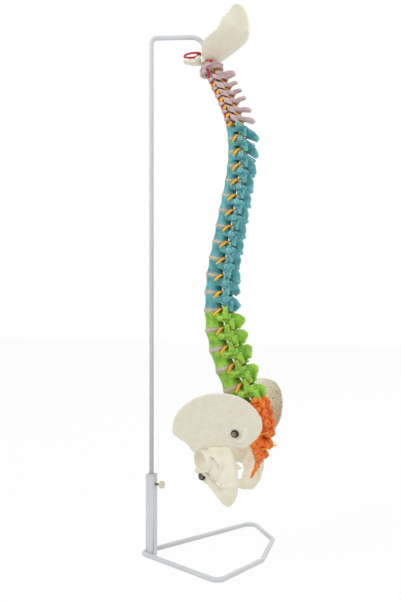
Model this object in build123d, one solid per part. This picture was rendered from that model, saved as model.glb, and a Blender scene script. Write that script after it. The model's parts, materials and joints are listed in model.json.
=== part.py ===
from build123d import *
import math
import os

# Flexible spine anatomy model with occipital plate and pelvis on its stand, in millimetres.
# The origin is at the foot of the post. Z is up, X points to the back of the spine, Y to its right side.

# Base loop, bent from round bar and welded round the foot of the post
bar_d = 8.4
base_bend = 14.0
near_side_length = 190.0
near_side_heading = -23.3
far_side_length = 275.0
far_side_heading = 62.0
front_corner = (192.0, 38.0)
back_corner = (178.0, 149.0)
weld_depth = 0.8
corner_share = 0.41

# Post, guide bush and clamp screw
post_width = 16.0
post_wall = 1.4
post_corner = 2.0
post_height = 141.0
bush_depth = 26.0
bush_rim = 3.0
bush_edge = 0.8
screw_d = 4.0
screw_height = 126.0
screw_reach = 8.5
screw_gap = 0.15
screw_hole_fit = 0.3
screw_tip = 0.5
tang_length = 4.9
knob_d = 12.6
knob_length = 7.0
knob_grooves = 12
knob_edge = 1.0
groove_d = 2.2
groove_offset = 0.6
slide_fit = 0.25

# Rod with its arm
rod_d = 8.0
rod_foot = 14.0
arm_height = 911.0
arm_reach = 95.0
arm_turn = 18.0
elbow_bend = 9.0
end_bend = 25.0
pin_end = 866.0

# Socket and wire eye on the top of the flexible core
socket_d = 11.0
socket_top = 884.0
socket_foot = 863.0
socket_edge = 0.6
pin_fit = 0.2
wire_d = 1.6
eye_top = 905.6
eye_foot = 4.0
core_d = 4.5
core_fit = 0.7
core_depth = 20.0

# Column: level 1 is C1, 8 is T1, 20 is L1 and 25 is S1. A size holds at the levels that it names,
# and changes evenly between them.
chest, loin, sacral = 8, 20, 25
lean = {2: 24, 3: 26, 5: 24, 7: 16, 8: 9, 10: -3, 12: -11, 16: -11.5, 17: -9, 19: 0, 20: 5, 22: 20, 24: 27}
pitch = {3: 15.3, 7: 15.3, 8: 22.4, 19: 31.0, 20: 34.0, 24: 37.5}
disc_height = {2: 3.4, 6: 3.4, 7: 3.6, 8: 3.8, 19: 6.8, 20: 7.4, 24: 9.0}
body_depth = {2: 15, 3: 14.5, 7: 17, 8: 18, 12: 24, 19: 31, 20: 33, 25: 36}
body_width = {2: 20, 3: 20, 7: 26, 8: 27, 12: 27.5, 19: 40, 20: 43, 25: 51}
body_waist = 0.88
canal_depth = {2: 15, 7: 14, 8: 14.5, 24: 15.5}
canal_width = {2: 22, 7: 20, 8: 17, 12: 16, 19: 18, 20: 21, 24: 24}
arch_wall = {2: 3.6, 7: 4, 8: 4.6, 19: 6, 24: 7}
arch_slope = {2: 18, 7: 22, 8: 28, 13: 34, 17: 24, 19: 16, 24: 10}
arch_share = {2: 0.5, 7: 0.52, 8: 0.52, 19: 0.52, 24: 0.5}
arch_rise = {2: 1.2, 7: 1.4, 8: 2.5, 19: 3.0, 24: 3.2}
spine_reach = {2: 41, 3: 38, 5: 40, 7: 41, 8: 43, 11: 38, 16: 40.5, 17: 46, 19: 45, 20: 51, 22: 54, 24: 47}
spine_drop = {2: 5, 5: 5, 6: 12, 7: 15, 8: 24, 11: 27, 13: 31, 15: 30, 17: 24, 18: 16, 20: 12, 22: 7, 24: 11}
spine_height = {2: 8, 3: 5.5, 6: 7, 7: 8, 8: 8, 12: 6, 16: 6, 17: 7, 18: 11, 20: 19, 23: 20, 24: 16}
spine_thickness = {2: 9, 3: 7, 6: 5.5, 8: 5.5, 16: 5, 20: 6.5, 24: 8}
wing_span = {2: 22, 6: 26, 7: 30, 8: 36, 13: 34, 16: 32, 17: 28, 18: 23, 19: 21, 20: 37, 22: 45, 24: 43}
wing_back = {2: 3, 7: 5, 8: 24, 12: 28, 16: 31, 19: 31, 20: 23, 24: 22}
wing_rise = {2: -1, 7: 0, 8: 4, 19: 2, 24: 3}
facet_over = {8: 0.5, 18: 0.5, 19: 0.0, 20: 0.4, 24: 1.2}
facet_gap = 2.0
pillar_slope = 46.0
pillar_gap = 3.6
pillar_size = (11.0, 10.0)
pillar_corner = 3.0
pillar_out = 5.2
wing_hole_out = 3.7
artery_hole_d = 5.4
neck_disc_gap = 0.9
axis_half = 10.3

# Atlas and dens
dens_length = 36.0
dens_d = 9.5
atlas_place = (5.3, 21.7)
atlas_lean = 4.5
atlas_height = 10.0
atlas_ring = (41.0, 44.0)
atlas_canal = (26.0, 27.0)
atlas_span = 36.0
atlas_hole = (-1.0, 20.0)
mass_height = 13.0
mass_place = (-3.0, 16.0)
mass_size = (9.5, 6.5)
front_knob_d = 9.2
back_knob_d = 8.4

# Occipital plate
skull_radius = 61.5
skull_wall = 4.5
skull_centre = (109.0, 925.0)
foramen = (16.0, 15.5)
suture_teeth = 7
suture_depth = 3.2
suture_low = (104.0, 893.0)
suture_high = (150.0, 957.0)
suture_bow = 3.0
foramen_x = 97.0
foramen_lean = -16.0
plate_outline = [(75, 850), (75, 871), (97, 873)]
plate_limit = (190, 975)
skull_base = ((90, 866), (52, 873), (13, 4.5), (9, 5.0), (10, 4.6))
condyle = ((97, 17, 870), (95, 16, 860.6), (6, 9), (4.5, 7))
skull_crest = ((148, 881), (169, 912), (3, 3), (3.5, 4))

# Sacrum and coccyx: lean of the upper plate, length and lean of each segment, half depths and widths
plate_lean = 33.0
sacral_steps = [(26, 31), (25, 23), (22, 10), (17, -3)]
sacral_sizes = [(15, 50), (17, 50), (13, 38), (9, 27), (6, 15)]
crest_reach = [38, 34, 24, 17]
hole_offsets = [23, 18, 14, 10]
root_pairs = 3
plate_neck = 14.0
sacral_roof = ((26, 0, -6), (20, 0, -82), (19, 12), (9, 6), (15, 9.5))
sacral_canal = ((25, 0, 14), (20, 0, -74), (11, 7), (3.5, 3), (8.5, 5.5))
upper_process = ((24, 18, -16), (27, 20, 4), (6, 6), (5, 4))
crest_sizes = ((4.0, 8.0), (2.6, 4.5))
coccyx_bars = {
    "first": ((0, 4), (-4, -12), (10, 5), (7, 4)),
    "last": ((-4, -10), (-15, -31), (5.5, 4), (2.2, 2), (4.5, 3.2)),
}
coccyx_horn = ((-3, 0, -5), (2, 19, -3), (4, 4), (2.4, 2.4))
hole_d = 4.6

# Hip bones, measured from the middle plane: the blade's line from above, then outlines from the side
wing_thickness = 7.0
flare = 0.6
blade_line = [(70, 104), (84, 98), (116, 78), (150, 65), (175, 57), (195, 48), (213, 31), (222, 18)]
blade_line_height = 205.0
blade_foot = 172.0
blade_height = 145.0
crest_points = [(81, 234), (86, 256), (116, 291), (164, 304), (190, 297), (208, 275), (211, 240)]
rear_points = [(211, 240), (204, 226), (191, 213), (178, 206), (165, 211), (156, 203), (150, 186)]
front_points = [(106, 186), (102, 198), (96, 216), (88, 225), (81, 234)]
hip_bars = {
    "boss": ((181, 44, 233), (177, 76, 236), (19, 21), (15, 17)),
    "ischium": ((149, 60, 190), (156, 53, 140), (13, 14), (10, 12)),
    "seat": ((157, 52, 150), (151, 54, 113), (9, 11), (9, 9), (12, 14)),
    "spine": ((157, 52, 178), (173, 46, 170), (6, 7), (2, 2.5)),
    "upper ramus": ((116, 62, 180), (92, 12, 152), (10, 11), (7, 8), (7, 7.5)),
    "lower ramus": ((102, 11, 136), (147, 51, 120), (6, 8), (8, 9), (5, 7)),
    "tubercle": ((88, 14, 152), (78, 19, 155), (7, 6), (3, 3.5)),
    "neck": ((132, 70, 210), (132, 66, 188), (9, 22), (18, 22)),
}
hub_place = (132.0, 66.0, 181.0)
hub_radius = 26.0
socket_place = (126.0, 84.0, 175.0)
cup_d = 44.0
pubis_place = (92.0, 0.0, 147.0)
pubis_size = (8.0, 18.0)
pubis_tilt = 35.0
pubis_width = 17.0
pubic_gap = 6.0
pelvis_screw_d = 4.0
screw_head_d = 8.0
washer_d = 12.6
washer_height = 2.6
washer_edge = 0.9
washer_fit = 0.6
head_edge = 1.2
recess = (4.8, 0.9, 2.0)
screw_head_height = 3.0
si_screw = (173.6, 234.0)
si_screw_half_width = 80.0
si_screw_length = 50.0
pubis_screw = (91.0, 144.0)
pubis_screw_half = 17.0

# Cord, nerves and arteries
cord_d = 9.0
nerve_d = {2: 4.6, 7: 4.0, 8: 3.0, 19: 3.2, 20: 3.6, 24: 3.8}
neck_nerve_x = 4.6
nerve_forward = 3.2
nerve_length = 15.0
nerve_fit = 0.15
sacral_nerve_d = 2.4
root_fit = 0.05
root_out = (2, 19, 26)
artery_d = 3.6
brain_artery_d = 4.6
circle_size = (30.0, 22.0)

names = [f"c{n}" for n in range(1, 8)] + [f"t{n}" for n in range(1, 13)] + [f"l{n}" for n in range(1, 6)]
arm_heading = math.radians(arm_turn)
pin_x = arm_reach * math.cos(arm_heading)
mid_y = arm_reach * math.sin(arm_heading)


def along(sizes, level):
    """Size at a level, worked out evenly between the levels that state it."""
    below = max((k for k in sizes if k <= level), default=min(sizes))
    above = min((k for k in sizes if k >= level), default=max(sizes))
    if below == above:
        return sizes[below]
    share = (level - below) / (above - below)
    return sizes[below] + share * (sizes[above] - sizes[below])


def write(part, name):
    """One STEP file for one node."""
    export_step(part, f"parts/{name}.step")


def both_sides(part):
    """A piece of the column with its mirror image on the other side."""
    return [part, mirror(part, Plane.XZ)]


def direction(heading):
    """Level unit vector at a heading in degrees."""
    return Vector(math.cos(math.radians(heading)), math.sin(math.radians(heading)))


def tapered(start, end, start_size, end_size, middle_size=None):
    """Loft of ellipses from start to end. A size is the half width across Y and the half height."""
    start, end = Vector(*start), Vector(*end)
    axis = end - start
    side = Vector(0, 1, 0) if abs(axis.normalized().Y) < 0.8 else Vector(1, 0, 0)
    side = (side - axis.normalized() * side.dot(axis.normalized())).normalized()
    sizes = [(0, start_size), (1, end_size)]
    if middle_size:
        sizes.insert(1, (0.55, middle_size))
    rings = []
    for share, size in sizes:
        plane = Plane(start + axis * share, x_dir=side, z_dir=axis)
        rings.append(plane * Ellipse(*size))
    return loft(rings)


def in_middle(start, end, *sizes):
    """Tapered bar in the middle plane of the body, between two places given as (x, z)."""
    return tapered((start[0], mid_y, start[1]), (end[0], mid_y, end[1]), *sizes)


def tube(points, diameter, radii=None):
    """Round tube along straight runs joined by tangent arcs."""
    points = [Vector(*p) for p in points]
    if len(points) == 2:
        path = Line(*points)
    else:
        path = FilletPolyline(*points, radius=radii or bend_radii(points))
    section = Plane(path @ 0, z_dir=path % 0) * Circle(diameter / 2)
    return sweep(section, path=path)


def bend_radii(points):
    """Largest arcs that the runs beside each corner leave room for."""
    radii = []
    for before, corner, after in zip(points, points[1:], points[2:]):
        run = min((corner - before).length, (after - corner).length)
        turn = math.radians((corner - before).get_angle(after - corner))
        radii.append(0.45 * run / math.tan(turn / 2))
    return radii


# Column line: each level's frame and the disc centres between levels
def frame_at(x, z, tilt):
    """Place of a level: its own Z follows the column upwards."""
    return Location((x, mid_y, z), (0, -tilt, 0))


def column():
    """Frames of C2 to L5 and the centres of the discs below them."""
    tilt = math.radians(lean[2])
    dens_top = (pin_x + 1.0, 862.0)
    centre = (dens_top[0] + dens_length * math.sin(tilt), dens_top[1] - dens_length * math.cos(tilt))
    frames = {2: frame_at(*centre, lean[2])}
    joint = (centre[0] + axis_half * math.sin(tilt), centre[1] - axis_half * math.cos(tilt))
    joints = {2: joint}
    for level in range(3, sacral):
        tilt = math.radians(along(lean, level))
        step = along(pitch, level)
        centre = (joint[0] + step / 2 * math.sin(tilt), joint[1] - step / 2 * math.cos(tilt))
        joint = (joint[0] + step * math.sin(tilt), joint[1] - step * math.cos(tilt))
        frames[level] = frame_at(*centre, math.degrees(tilt))
        joints[level] = joint
    return frames, joints


frames, joints = column()
atlas_frame = frames[2] * Location((atlas_place[0], 0, atlas_place[1]), (0, atlas_lean, 0))


# Stand
def base_loop():
    """Closed loop of round bar whose first corner runs round two sides of the post."""
    half = post_width / 2
    near, far = direction(near_side_heading), direction(far_side_heading)
    reach = bar_d / 2 - weld_depth - corner_share * post_corner
    near_offset = half * (abs(near.X) + abs(near.Y)) + reach
    far_offset = half * (abs(far.X) + abs(far.Y)) + reach
    near_normal = Vector(near.Y, -near.X)
    far_normal = Vector(-far.Y, far.X)
    cross = near_normal.X * far_normal.Y - near_normal.Y * far_normal.X
    first = Vector(
        (near_offset * far_normal.Y - far_offset * near_normal.Y) / cross,
        (near_normal.X * far_offset - far_normal.X * near_offset) / cross,
    )
    corners = [
        first,
        first + near * near_side_length,
        Vector(*front_corner),
        Vector(*back_corner),
        first + far * far_side_length,
    ]
    lift = Vector(0, 0, bar_d / 2)
    path = FilletPolyline(*[p + lift for p in corners], radius=base_bend, close=True)
    bar = sweep(Plane(path @ 0, z_dir=path % 0) * Circle(bar_d / 2), path=path)
    return bar - Pos(0, 0, post_height / 2) * Box(post_width, post_width, post_height)


def post():
    """Square tube with a closed foot and a threaded hole for the clamp screw."""
    outer = extrude(RectangleRounded(post_width, post_width, post_corner), post_height)
    bore_width = post_width - 2 * post_wall
    bore = extrude(RectangleRounded(bore_width, bore_width, post_corner - post_wall / 2), post_height)
    screw_hole = Pos(post_width / 2, 0, screw_height) * Rot(0, 90, 0) * Cylinder(screw_d / 2, post_width / 2)
    return outer - Pos(0, 0, post_wall) * bore - screw_hole


def guide_bush():
    """Moulded plug that lines the top of the post and guides the rod."""
    inside = post_width - 2 * post_wall
    plug = Pos(0, 0, post_height - bush_depth) * extrude(
        RectangleRounded(inside, inside, post_corner - post_wall / 2), bush_depth
    )
    rim = Pos(0, 0, post_height) * extrude(RectangleRounded(post_width, post_width, post_corner), bush_rim)
    rim = chamfer(rim.faces().sort_by(Axis.Z)[-1].edges(), bush_edge)
    bore = Pos(0, 0, post_height) * Cylinder(rod_d / 2 + slide_fit, 4 * bush_depth)
    hole = Cylinder(screw_d / 2 + screw_hole_fit, post_width)
    screw_hole = Pos(post_width / 2, 0, screw_height) * Rot(0, 90, 0) * hole
    return plug + rim - bore - screw_hole


def stand_rod():
    """Rod that slides in the post, with the arm over the column and the pin down into its socket."""
    points = [(0, 0, rod_foot), (0, 0, arm_height), (pin_x, mid_y, arm_height), (pin_x, mid_y, pin_end)]
    return tube(points, rod_d, [elbow_bend, end_bend])


def clamp_screw():
    """Screw from the post's wall to just short of the rod."""
    start = rod_d / 2 + screw_gap
    length = post_width / 2 + screw_reach - start
    shank = Cylinder(screw_d / 2, length, align=(Align.CENTER, Align.CENTER, Align.MIN))
    shank = chamfer(shank.edges().sort_by(Axis.Z)[0], screw_tip)
    tang = Pos(0, 0, length) * Cylinder(screw_d / 2, tang_length, align=(Align.CENTER, Align.CENTER, Align.MIN))
    return Pos(start, 0, screw_height) * Rot(0, 90, 0) * (shank + tang)


def clamp_knob():
    """Round knob with finger grooves, moulded on the end of the screw."""
    knob = Cylinder(knob_d / 2, knob_length, align=(Align.CENTER, Align.CENTER, Align.MIN))
    knob = fillet(knob.edges(), knob_edge)
    groove = Pos(knob_d / 2 + groove_offset, 0, knob_length / 2) * Cylinder(groove_d / 2, knob_length)
    knob -= [Rot(0, 0, 360 * n / knob_grooves) * groove for n in range(knob_grooves)]
    knob -= Cylinder(screw_d / 2, tang_length, align=(Align.CENTER, Align.CENTER, Align.MIN))
    return Pos(post_width / 2 + screw_reach, 0, screw_height) * Rot(0, 90, 0) * knob


# Socket, eye and core
def wire_eye():
    """Wire eye over the bend of the arm, soldered into grooves of the core socket."""
    leg = socket_d / 2 + wire_d / 4
    foot = socket_foot + eye_foot
    points = [(0, -leg, foot), (0, -leg, eye_top), (0, leg, eye_top), (0, leg, foot)]
    eye = tube(points, wire_d, [leg * 0.7, leg * 0.7])
    return Pos(pin_x, mid_y, 0) * Rot(0, 0, arm_turn) * eye


def core_socket(eye, core):
    """Turned sleeve that takes the end of the arm, crimped on the top of the core."""
    height = socket_top - socket_foot
    sleeve = Cylinder(socket_d / 2, height, align=(Align.CENTER, Align.CENTER, Align.MIN))
    sleeve = chamfer(sleeve.edges().sort_by(Axis.Z)[-1], socket_edge)
    bore = Pos(0, 0, pin_end - socket_foot - pin_fit) * Cylinder(
        rod_d / 2 + pin_fit, height, align=(Align.CENTER, Align.CENTER, Align.MIN)
    )
    return Pos(pin_x, mid_y, socket_foot) * (sleeve - bore) - [eye, core]


def core_points():
    """Line of the flexible core, from the socket through the discs' centres into the sacrum."""
    dens_top = frames[2] * Location((0, 0, dens_length - 4))
    points = [(pin_x, mid_y, socket_foot + 2), (pin_x, mid_y, socket_foot - 1), tuple(dens_top.position)]
    points += [(joints[level][0], mid_y, joints[level][1]) for level in range(2, sacral)]
    end = sacral_plate().location * Location((0, 0, -core_depth))
    return points + [tuple(end.position)]


# Vertebrae, each built in its own frame: body at the origin, X to the back, Z up the column
def end_heights(level):
    """Heights of the lower and upper end plates of a body."""
    if level == 2:
        return -axis_half + along(disc_height, 2) / 2, 7.0
    step = along(pitch, level)
    return -step / 2 + along(disc_height, level) / 2, step / 2 - along(disc_height, level - 1) / 2


def canal_centre(level):
    """Distance of the canal's middle behind the body's middle."""
    return along(body_depth, level) / 2 + along(canal_depth, level) / 2 - 1.0


def ring_size(level, extra=0.0):
    """Half depth and half width of the canal, or of the arch round it."""
    return along(canal_depth, level) / 2 + extra, along(canal_width, level) / 2 + extra


def body(level, low, high):
    """Waisted body between its end plates."""
    depth, width = along(body_depth, level) / 2, along(body_width, level) / 2
    sections = [
        Pos(0, 0, low) * Ellipse(depth, width),
        Pos(0, 0, (low + high) / 2) * Ellipse(depth * body_waist, width * body_waist),
        Pos(0, 0, high) * Ellipse(depth * 0.97, width * 0.97),
    ]
    return loft(sections)


def slanted(shape_height, x, z, slope, size=120.0):
    """Slab of a given upright height that falls to the back."""
    thickness = shape_height * math.cos(math.radians(slope))
    return Pos(x, 0, z) * Rot(0, slope, 0) * Box(size, size, thickness)


def arch(level):
    """Ring round the canal that falls to the back, with the two pedicles."""
    centre, step = canal_centre(level), along(pitch, level)
    wall = along(arch_wall, level)
    height = along(arch_share, level) * step
    rise = along(arch_rise, level)
    ring = Pos(centre, 0, -2 * step) * extrude(Ellipse(*ring_size(level, wall)), 4 * step)
    ring &= slanted(height, centre, rise, along(arch_slope, level))
    front = centre - ring_size(level)[0] * 0.35
    ring &= Pos(front + 50, 0, 0) * Box(100, 100, 100)
    side = ring_size(level)[1] + wall * 0.45
    root = along(body_depth, level) * 0.2
    size = (wall * 0.62, height * 0.42)
    pedicle = tapered((root, side, rise + 0.6), (centre, side, rise), size, size)
    return [ring] + both_sides(pedicle)


def spinous_process(level):
    """Process at the back of the arch, from its root to its tip."""
    centre, wall = canal_centre(level), along(arch_wall, level)
    height = along(arch_share, level) * along(pitch, level)
    offset = ring_size(level)[0] + wall * 0.35
    fall = offset * math.tan(math.radians(along(arch_slope, level)))
    root = (centre + offset, 0, along(arch_rise, level) - fall)
    tip = (along(spine_reach, level), 0, -along(spine_drop, level))
    thick, tall = along(spine_thickness, level) / 2, along(spine_height, level) / 2
    share = (0.46, 0.38) if level < chest or level > loin - 3 else (0.36, 0.24)
    middle = (thick * 0.75, max(tall, height * share[1]))
    return tapered(root, tip, (thick * 1.25, height * share[0]), (thick, tall), middle)


def wings(level):
    """Transverse processes of the chest and loin."""
    centre, wall = canal_centre(level), along(arch_wall, level)
    side = ring_size(level)[1] + wall * 0.4
    height = along(pitch, level) * (0.15 if level < loin else 0.12)
    start = (centre + 1.5, side, along(arch_rise, level) + 0.5)
    end = (along(wing_back, level), along(wing_span, level), along(wing_rise, level))
    middle = (wall * 0.7, height * 0.85)
    blade = tapered(start, end, (wall * 0.95, height * 1.15), (wall * 0.85, height), middle)
    return both_sides(blade)


def facet_place(level):
    """Middle and half sizes of a level's upper joint process."""
    centre, half_width = canal_centre(level), ring_size(level)[1]
    if level < loin:
        return centre + 2.0, half_width + 2.0, (2.6, 4.4)
    return centre + 4.5, half_width + 6.0, (4.4, 3.6)


def facets(level):
    """Upper and lower joint processes of the chest and loin."""
    step = along(pitch, level)
    x, y, size = facet_place(level)
    top = step / 2 + along(disc_height, level - 1) / 2 + along(facet_over, level)
    if level == chest:
        top = step / 2 - 3.0
    upper = Pos(x, y, 0) * extrude(Ellipse(*size), top)
    next_x, next_y, next_size = facet_place(level + 1)
    if level + 1 < loin:
        place, size, bottom = (next_x + 2 * next_size[0] + facet_gap, next_y - 1.5), (2.6, 4.0), -step / 2 - 2.0
    else:
        place, size, bottom = (next_x + 8.5, next_y - 6.6), (4.2, 3.6), -step / 2 - 2.0
    lower = Pos(*place, bottom) * extrude(Ellipse(*size), -bottom)
    return both_sides(upper) + both_sides(lower)


def pillars(level):
    """Slanted side blocks of the neck, stacked like tiles with a gap between them."""
    height = along(pitch, level) - pillar_gap
    x = canal_centre(level) - 1.5
    y = ring_size(level)[1] + pillar_out
    block = Pos(x, y, -20) * extrude(RectangleRounded(*pillar_size, pillar_corner), 40)
    block &= slanted(height, x, 0.4, pillar_slope)
    return both_sides(block)


def artery_hole_place(level):
    """Middle of the hole for the artery in a transverse process of the neck."""
    if level == 1:
        return atlas_hole
    return 0.0, along(body_width, level) / 2 + wing_hole_out


def neck_wings(level):
    """Transverse processes of the neck, with their artery holes still closed."""
    x = artery_hole_place(level)[0]
    inner = along(body_width, level) / 2 - 3
    blade = tapered((x, inner, 0), (x + 3, along(wing_span, level), -1), (4.6, 2.6), (3.4, 2.2), (4.6, 2.6))
    return both_sides(blade)


def artery_holes(level):
    """Cutters for both artery holes."""
    x, y = artery_hole_place(level)
    return both_sides(Pos(x, y, 0) * Cylinder(artery_hole_d / 2, 30))


def canal(level):
    """Cutter for the vertebral canal."""
    return Pos(canal_centre(level), 0, 0) * extrude(Ellipse(*ring_size(level)), 80, both=True)


def core_bore(length=60.0):
    """Cutter for the bore of the flexible core."""
    return Cylinder(core_d / 2 + core_fit, length)


def vertebra(level):
    """One vertebra of C3 to L5 in its own frame."""
    low, high = end_heights(level)
    pieces = arch(level) + [spinous_process(level)]
    if level < chest:
        pieces += pillars(level) + neck_wings(level)
    else:
        pieces += wings(level) + facets(level)
    solid = body(level, low, high) + pieces
    cutters = [canal(level), core_bore()]
    if level < chest:
        cutters += artery_holes(level)
    return solid - cutters


def axis_vertebra():
    """C2, with the dens that stands up through the ring of C1."""
    low, high = end_heights(2)
    dens = Cylinder(dens_d / 2, dens_length - 4, align=(Align.CENTER, Align.CENTER, Align.MIN))
    dens = fillet(dens.edges().sort_by(Axis.Z)[-1], 1.8)
    centre, wall = canal_centre(2), along(arch_wall, 2)
    ring = Pos(centre, 0, -30) * extrude(Ellipse(*ring_size(2, wall + 0.8)), 60)
    ring &= slanted(11.0, centre, 0.5, 14)
    side = ring_size(2)[1] + wall * 0.5
    pedicle = tapered((3, side, 0), (centre, side, 0), (wall * 0.7, 4.6), (wall * 0.7, 4.6))
    shoulder = Pos(1.5, 10.0, -3) * extrude(Ellipse(7.0, 5.5), 10.0)
    pillar = extrude(RectangleRounded(*pillar_size, pillar_corner), 40)
    pillar = Pos(centre - 1.5, ring_size(2)[1] + pillar_out, -20) * pillar
    pillar &= slanted(9.0, centre - 1.5, -1.4, pillar_slope)
    root = (centre + ring_size(2)[0] + 1, 0, -1.5)
    process = tapered(root, (spine_reach[2], 0, -spine_drop[2]), (5.0, 6.0), (5.2, 4.4), (4.2, 5.4))
    pieces = [dens, ring, process] + both_sides(pedicle) + both_sides(shoulder) + both_sides(pillar)
    pieces += neck_wings(2)
    solid = body(2, low, high) + pieces
    return solid - [canal(2), core_bore(120)] - artery_holes(2)


def atlas():
    """C1, a ring with side masses, small knobs front and back, and wide transverse processes."""
    outer = extrude(Ellipse(atlas_ring[0] / 2, atlas_ring[1] / 2), atlas_height / 2, both=True)
    front = Pos(-atlas_ring[0] / 2 + 2.0, 0, 0) * Sphere(front_knob_d / 2)
    back = Pos(atlas_ring[0] / 2 - 1.0, 0, 0) * Sphere(back_knob_d / 2)
    mass = Pos(*mass_place, 0) * extrude(Ellipse(*mass_size), mass_height / 2, both=True)
    blade = tapered((2, 17, 0), (6, atlas_span, -1), (7.0, 4.2), (4.0, 3.2), (6.0, 3.4))
    ring = outer + [front, back] + both_sides(mass) + both_sides(blade)
    hollow = extrude(Ellipse(atlas_canal[0] / 2, atlas_canal[1] / 2), 40, both=True)
    return ring - hollow - artery_holes(1)


def neck_disc(level):
    """Disc of the neck, moulded under the body of its vertebra, with a gap above the next one."""
    upper, lower = level_plane(level, end_heights(level)[0]), lower_plate(level).offset(neck_disc_gap)
    depth, width = along(body_depth, level) / 2, along(body_width, level) / 2
    disc = loft([upper * Ellipse(depth, width), lower * Ellipse(depth * 1.02, width * 0.98)])
    return disc - upper * core_bore()


def disc(level):
    """Disc between a level and the next one, bulged between the two end plates."""
    upper, lower = level_plane(level, end_heights(level)[0]), lower_plate(level)
    depth, width = along(body_depth, level) / 2, along(body_width, level) / 2
    next_depth, next_width = along(body_depth, level + 1) / 2, along(body_width, level + 1) / 2
    x_dir, z_dir = upper.x_dir + lower.x_dir, upper.z_dir + lower.z_dir
    middle = Plane((upper.origin + lower.origin) / 2, x_dir=x_dir, z_dir=z_dir)
    sections = [
        upper * Ellipse(depth, width),
        middle * Ellipse((depth + next_depth) / 2 * 1.05, (width + next_width) / 2 * 1.04),
        lower * Ellipse(next_depth * 0.97, next_width * 0.97),
    ]
    bore = middle * core_bore(30)
    return loft(sections) - bore


def level_plane(level, height):
    """Plane across the column in the frame of a level."""
    return Plane(frames[level] * Location((0, 0, height)))


def lower_plate(level):
    """Upper end plate of the level below, or of the sacrum."""
    if level + 1 == sacral:
        return sacral_plate()
    return level_plane(level + 1, end_heights(level + 1)[1])


# Sacrum, coccyx and hip bones
def chain(start, steps):
    """Points reached from a start by steps of (length, lean) down the column."""
    points = [start]
    for length, tilt in steps:
        angle = math.radians(tilt)
        x, z = points[-1]
        points.append((x + length * math.sin(angle), z - length * math.cos(angle)))
    return points


def sacral_plate():
    """Upper end plate of the sacrum."""
    angle = math.radians(plate_lean)
    x, z = joints[sacral - 1]
    half = along(disc_height, sacral - 1) / 2
    return Plane(frame_at(x + half * math.sin(angle), z - half * math.cos(angle), plate_lean))


def sacral_points():
    """Middle of the sacrum at its upper plate and at the lower end of each segment."""
    plate = sacral_plate().origin
    return chain((plate.X, plate.Z), sacral_steps)


def sacrum():
    """Sacrum with its wings, crest, canal and nerve holes, and the coccyx fused below it."""
    points = sacral_points()
    tilts = [plate_lean] + [tilt for length, tilt in sacral_steps]
    sections = []
    for (x, z), tilt, (depth, width) in zip(points, tilts, sacral_sizes):
        sections.append(Plane(frame_at(x, z, tilt)) * Ellipse(depth, width))
    block = loft(sections)
    top = sacral_plate().location
    neck = top * extrude(Ellipse(along(body_depth, sacral) / 2, along(body_width, sacral) / 2), -plate_neck)
    pieces = [neck, top * tapered(*sacral_roof)]
    pieces += [top * process for process in both_sides(tapered(*upper_process))]
    for (x, z), reach in zip(points[:4], crest_reach):
        pieces.append(in_middle((x + 4, z - 6), (x + reach, z - 4), *crest_sizes))
    tip = Pos(points[4][0], mid_y, points[4][1])
    for (start_x, start_z), (end_x, end_z), *sizes in coccyx_bars.values():
        pieces.append(tip * tapered((start_x, 0, start_z), (end_x, 0, end_z), *sizes))
    pieces += [tip * horn for horn in both_sides(tapered(*coccyx_horn))]
    solid = block + pieces
    cutters = [top * tapered(*sacral_canal)]
    for (x, z), tilt, offset in zip(points[1:5], tilts[1:], hole_offsets):
        for side in (1, -1):
            hole = frame_at(x, z, tilt) * Pos(0, offset * side, 3) * Rot(0, 90, 0) * Cylinder(hole_d / 2, 90)
            cutters.append(hole)
    cutters.append(top * Pos(0, 0, -10) * core_bore(36))
    return solid - cutters


def iliac_blade():
    """Flared blade of the hip bone: an S-shaped sheet trimmed to the outline of the crest."""
    outer = [(x, w + wing_thickness / 2) for x, w in blade_line]
    inner = [(x, w - wing_thickness / 2) for x, w in reversed(blade_line)]
    edges = [Spline(*outer), Line(outer[-1], inner[0]), Spline(*inner), Line(inner[-1], outer[0])]
    section = make_face(Wire(edges))
    drop = blade_foot - blade_line_height
    rise = Vector(0, flare, 1)
    sheet = extrude(Pos(0, flare * drop, blade_foot) * section, blade_height * rise.length, dir=rise)
    crest = Spline(*crest_points)
    rear = Spline(*rear_points)
    front = Spline(*front_points)
    wire = Wire([crest, rear, Line(rear_points[-1], front_points[0]), front])
    prism = extrude(Plane.XZ * make_face(wire), -200)
    return sheet & prism


def hip_bone():
    """Hip bone of the right side, measured from the middle plane of the body."""
    hub = Pos(*hub_place) * Sphere(hub_radius)
    pubis = extrude(Ellipse(*pubis_size), -pubis_width)
    pubis = Pos(*pubis_place) * Rot(0, -pubis_tilt, 0) * Rot(90, 0, 0) * pubis
    solid = iliac_blade() + [hub, pubis] + [tapered(*bar) for bar in hip_bars.values()]
    middle = Pos(100, pubic_gap / 2 - 50, 150) * Box(200, 100, 200)
    socket = Pos(*socket_place) * Sphere(cup_d / 2)
    return solid - [middle, socket]


def pubic_disc():
    """Cartilage plate between the two pubic bones."""
    plate = Pos(*pubis_place) * Rot(0, -pubis_tilt, 0) * Rot(90, 0, 0)
    plate *= extrude(Ellipse(pubis_size[0] * 1.04, pubis_size[1] * 1.03), pubic_gap / 2, both=True)
    return Pos(0, mid_y, 0) * plate


def screw_axes():
    """Place and length of each pelvis screw, from its head inwards along Y."""
    wing, pubis = si_screw_half_width, pubis_screw_half
    return [
        (Location((si_screw[0], mid_y - wing, si_screw[1]), (-90, 0, 0)), si_screw_length),
        (Location((si_screw[0], mid_y + wing, si_screw[1]), (90, 0, 0)), si_screw_length),
        (Location((pubis_screw[0], mid_y - pubis, pubis_screw[1]), (-90, 0, 0)), pubis * 2),
    ]


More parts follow.
